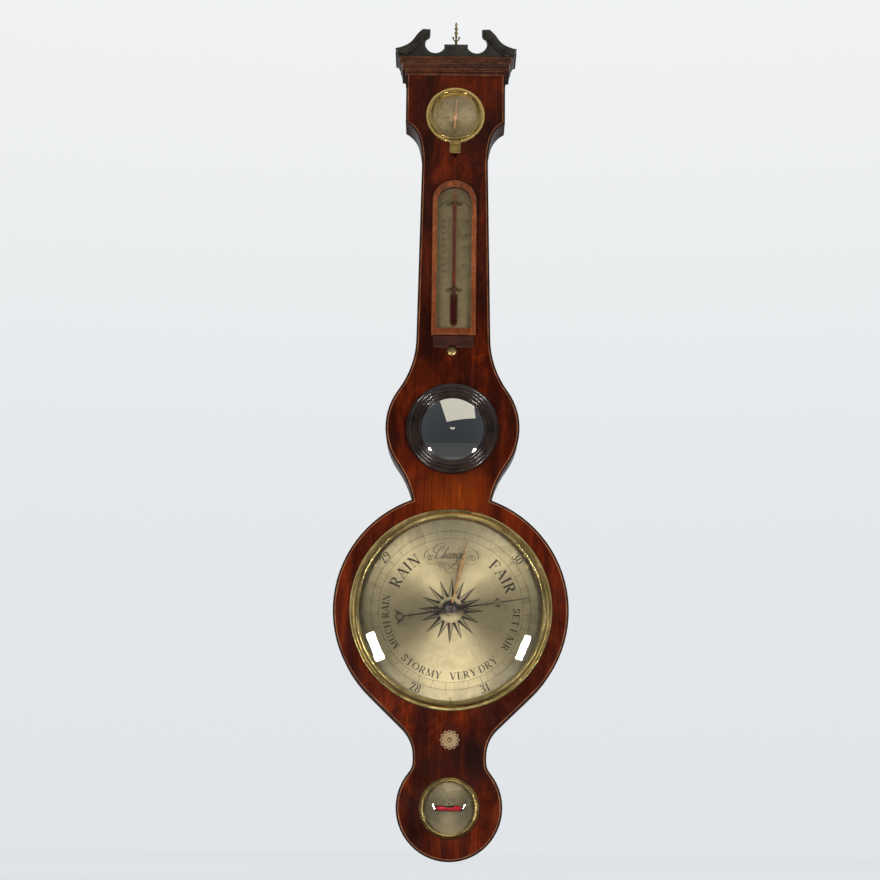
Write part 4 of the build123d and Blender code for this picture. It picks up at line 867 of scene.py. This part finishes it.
hygro = Engraving("hygrometer_dial")
RING_IN, RING_OUT = 22.6, 25.6
hygro.circle(RING_OUT, 0.20)
hygro.circle(RING_IN, 0.20)
for index in range(72):
    hygro.tick(index * 5, RING_IN, RING_OUT if index % 6 == 0 else 24.2, 0.20)
for index in range(12):
    hygro.around(str(abs(6 - index) * 10), 19.9, index * 30 + 180, 2.2)
hygro.straight("DAMP", -12.0, -2.8, 2.7)
hygro.straight("DRY", 12.0, -2.8, 2.7)
hygro.finish("hygrometer_engraving", faint_wax)

thermo = Engraving("thermometer_scale")
HUNDRED_Z = 47.0          # height of 100 degrees over the plate's middle
MM_PER_DEGREE = 0.76
TUBE_SIDE = 5.0
WORD_X, WORD_HEIGHT = 12.2, 2.9


def scale_z(fahrenheit):
    return HUNDRED_Z - (100 - fahrenheit) * MM_PER_DEGREE


for fahrenheit in range(2, 107, 2):
    z = scale_z(fahrenheit)
    tens = fahrenheit % 10 == 0
    thermo.stroke([(-TUBE_SIDE, z), (-9.4 if tens else -7.4, z)], [0.30 if tens else 0.20] * 2)
    if tens:
        thermo.straight(str(fahrenheit), -12.6, z - 1.5, 3.0, 0.86)
for side in (-TUBE_SIDE, TUBE_SIDE):
    thermo.stroke([(side, scale_z(2)), (side, scale_z(106))], [0.20, 0.20])
for upper, lower, z in (("BLOOD", "HEAT", 45.0), ("SUMMER", "HEAT", 28.0), ("TEMPER", "ATE", 13.0),
                        ("FREEZ", "ING", -8.0)):
    thermo.straight(upper, WORD_X, z + 0.5, WORD_HEIGHT, 0.66)
    thermo.straight(lower, WORD_X, z - 3.4, WORD_HEIGHT, 0.66)
    thermo.stroke([(TUBE_SIDE, z), (TUBE_SIDE + 1.6, z)], [0.26, 0.26])
arch = []
for step in range(25):
    x, z = on_circle(20.0, -64 + 128 * step / 24)
    arch.append((x, 53.5 + z))
for half in (arch[:11], arch[14:]):
    thermo.stroke(half, [0.6] * len(half))
thermo.finish("thermometer_engraving", faint_wax)

level = Engraving("level_dial")
level.around("LEVEL", 9.6, 0, 3.9, stretch=0.86)
level.circle(26.2, 0.18)
level.circle(25.4, 0.12)
level.circle(14.6, 0.24, 112, 248)
level.circle(20.4, 0.22, 118, 242)
for index in range(23):
    degrees = 120 + index * 120 / 22
    level.tick(degrees, 16.0, 19.1 if index % 2 else 18.2, 0.34)
level.solid([(1.15 * math.cos(math.radians(20 * step)), 5.0 + 1.15 * math.sin(math.radians(20 * step)))
             for step in range(18)])
level.finish("level_engraving", faint_wax)


# ---------------------------------------------------------------- turned and blown pieces

def revolve(name, outline, origin, axis, look, around=48, reshape=None):
    """A piece on the case, turned from (radius, along) corners about an axis through origin."""
    mesh = bmesh.new()
    rows = []
    for radius, along in outline:
        row = []
        for step in range(around):
            angle = 2 * math.pi * step / around
            here = (radius * math.cos(angle), radius * math.sin(angle), along)
            if reshape is not None:
                here = reshape(*here)
            if axis == "X":
                here = (here[2], here[0], here[1])
            row.append(mesh.verts.new(origin + Vector(here) * MM))
        rows.append(row)
    for low, high in zip(rows, rows[1:]):
        for step in range(around):
            after = (step + 1) % around
            mesh.faces.new((low[step], low[after], high[after], high[step]))
    mesh.faces.new(list(reversed(rows[0])))
    mesh.faces.new(rows[-1])
    bmesh.ops.recalc_face_normals(mesh, faces=mesh.faces)
    for face in mesh.faces:
        face.smooth = True
    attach(place_mesh(name, mesh, look), "case")


TIP = 0.02                # radius of the small flat that closes a turned piece


def rounded_rod(radius, low, high, steps=6):
    """The outline of a rod with round ends."""
    outline = [(TIP, low)]
    for step in range(1, steps + 1):
        angle = math.pi / 2 * step / steps
        outline.append((radius * math.sin(angle), low + radius * (1 - math.cos(angle))))
    for step in range(steps + 1):
        angle = math.pi / 2 * step / steps
        flat = TIP if step == steps else 0
        outline.append((radius * math.cos(angle) + flat, high - radius * (1 - math.sin(angle))))
    return outline


def spirit(name, first, second, scale, rough, clear=0.0):
    """Coloured alcohol of two shades."""
    look = Look(name, roughness=rough)
    look.set("Base Color", look.mix(look.noise(look.place, scale, 3.0), first, second))
    look.set("IOR", 1.36)
    look.set("Transmission Weight", clear)
    return look


column_red = spirit("red_spirit", (0.15, 0.012, 0.010), (0.085, 0.006, 0.006), 90.0, 0.06, 0.25)
bulb_red = spirit("deep_red_spirit", (0.030, 0.0022, 0.0026), (0.046, 0.0040, 0.0040), 90.0, 0.05)
level_red = spirit("level_red_spirit", (0.62, 0.020, 0.045), (0.34, 0.012, 0.022), 60.0, 0.05, 0.3)

tube_foot = middle("thermometer_tube")
tube_foot.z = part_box("thermometer_tube")[0].z
revolve("thermometer_spirit_bulb", rounded_rod(3.5, 1.3, 37.4), tube_foot, "Z", bulb_red)
revolve("thermometer_spirit_column", rounded_rod(1.06, 37.0, 148.0), tube_foot, "Z", column_red,
        around=24)

BUBBLE_HALF = 4.4


def bubble(x, z, along):
    """Flattens the spirit's top where the bubble lies."""
    if abs(along) < BUBBLE_HALF:
        z = min(z, 1.5 - 1.3 * math.sqrt(1 - (along / BUBBLE_HALF) ** 2))
    return x, z, along


vial_outline = [(TIP, -13.4), (1.5, -13.3), (1.96, -12.8)]
vial_outline += [(1.97, -12.0 + step) for step in range(25)]
vial_outline += [(1.96, 12.8), (1.5, 13.3), (TIP, 13.4)]
revolve("level_spirit", vial_outline, middle("level_vial"), "X", level_red, reshape=bubble)

# ---------------------------------------------------------------- studio

scene = bpy.context.scene
scene.view_settings.view_transform = "Standard"
scene.view_settings.look = "None"

# The floor is plain pale paper, darker where the object reflects it.
paper = Look("studio_paper", roughness=0.9)
paper_shade = paper.mix(paper.noise(paper.place, 40.0, 3.0), (0.80, 0.805, 0.815), (0.82, 0.825, 0.835))
paper_ray = paper.add("ShaderNodeLightPath")
paper.set("Base Color", paper.mix(paper_ray.outputs["Is Glossy Ray"], paper_shade, (0.125, 0.125, 0.125)))
paper_glow = paper.add("ShaderNodeEmission")
paper.feed(paper_glow.inputs[0], (0.742, 0.772, 0.798))
paper_blend = paper.add("ShaderNodeMixShader")
paper.link(paper.math("MULTIPLY", paper_ray.outputs["Is Camera Ray"], 0.97), paper_blend.inputs[0])
paper.link(paper.shader.outputs[0], paper_blend.inputs[1])
paper.link(paper_glow.outputs[0], paper_blend.inputs[2])
paper.link(paper_blend.outputs[0], paper.out.inputs["Surface"])
floor_mesh = bmesh.new()
bmesh.ops.create_grid(floor_mesh, x_segments=8, y_segments=8, size=7.0)
floor = place_mesh("studio_floor", floor_mesh, paper)
floor.location = (0, 0, cad_box[0][2])


def softbox(name, place, target, wide, tall, radiance, tint, roll):
    """A rectangular lamp aimed at a point and rolled by an angle in degrees."""
    lamp = bpy.data.lights.new(name, "AREA")
    lamp.shape = "RECTANGLE"
    lamp.size = wide
    lamp.size_y = tall
    lamp.energy = radiance * math.pi * wide * tall
    lamp.color = tint
    holder = bpy.data.objects.new(name, lamp)
    scene.collection.objects.link(holder)
    holder.location = place
    aim = (Vector(target) - Vector(place)).to_track_quat("-Z", "Y").to_matrix()
    holder.rotation_euler = (aim @ Matrix.Rotation(math.radians(roll), 3, "Z")).to_euler()
    holder.visible_camera = False


STRIP_TINT = (1.0, 0.97, 0.93)
BOARD_TINT = (1.0, 0.93, 0.76)
softbox("softbox_left", (-0.543, -1.257, -0.745), (0, 0, -0.55), wide=0.052, tall=0.21,
        radiance=195.0, tint=STRIP_TINT, roll=22.0)
softbox("softbox_right", (0.543, -1.257, -0.745), (0, 0, -0.55), wide=0.046, tall=0.19,
        radiance=225.0, tint=STRIP_TINT, roll=-22.0)
softbox("overhead_board", (0.26, -2.2, 1.20), (0, 0, -0.40), wide=1.5, tall=1.5,
        radiance=0.66, tint=BOARD_TINT, roll=10.0)

world = bpy.data.worlds.new("studio")
scene.world = world
world.use_nodes = True
sky = world.node_tree
sky.nodes.clear()


def sky_light(value, low, high, *stops):
    """A background whose colour runs through the stops with one part of the direction."""
    span = add_node(sky, "ShaderNodeMapRange")
    span.inputs["From Min"].default_value = low
    span.inputs["From Max"].default_value = high
    ramp = add_node(sky, "ShaderNodeValToRGB")
    set_stops(ramp, stops)
    light = add_node(sky, "ShaderNodeBackground")
    sky.links.new(value, span.inputs["Value"])
    sky.links.new(span.outputs[0], ramp.inputs[0])
    sky.links.new(ramp.outputs[0], light.inputs[0])
    return light.outputs[0]


direction = add_node(sky, "ShaderNodeSeparateXYZ")
sky.links.new(add_node(sky, "ShaderNodeTexCoord").outputs["Generated"], direction.inputs[0])
# Light falls from a dim room in front of the object and pale walls behind it.
room = sky_light(direction.outputs[1], -1.0, 1.0,
                 (0.0, (0.045, 0.05, 0.055)), (0.30, (0.10, 0.105, 0.11)),
                 (0.48, (0.55, 0.56, 0.57)), (0.7, (0.85, 0.86, 0.87)))
# The camera sees a pale backdrop, lighter upward.
backdrop = sky_light(direction.outputs[2], -0.05, 0.5,
                     (0.0, (0.745, 0.775, 0.80)), (0.45, (0.79, 0.81, 0.83)), (1.0, (0.91, 0.92, 0.92)))
ray = add_node(sky, "ShaderNodeLightPath")
blend = add_node(sky, "ShaderNodeMixShader")
for socket, source in enumerate((ray.outputs["Is Camera Ray"], room, backdrop)):
    sky.links.new(source, blend.inputs[socket])
sky.links.new(blend.outputs[0], add_node(sky, "ShaderNodeOutputWorld").inputs[0])

# ---------------------------------------------------------------- camera

IMAGE = 880               # pixels
FOCAL = 1900.0            # pixels
SENSOR = 36.0             # millimetres
PITCH, ROLL = 12.2, 0.62  # degrees up from level, and round the view axis
camera_data = bpy.data.cameras.new("camera")
camera_data.sensor_width = SENSOR
camera_data.lens = SENSOR * FOCAL / IMAGE
camera_data.clip_start = 0.05
camera_data.clip_end = 60.0
camera = bpy.data.objects.new("camera", camera_data)
scene.collection.objects.link(camera)
camera.matrix_world = (Matrix.Translation((-0.014, -2.138, -0.885))
                       @ Matrix.Rotation(math.radians(90 + PITCH), 4, "X")
                       @ Matrix.Rotation(math.radians(ROLL), 4, "Z"))
scene.camera = camera
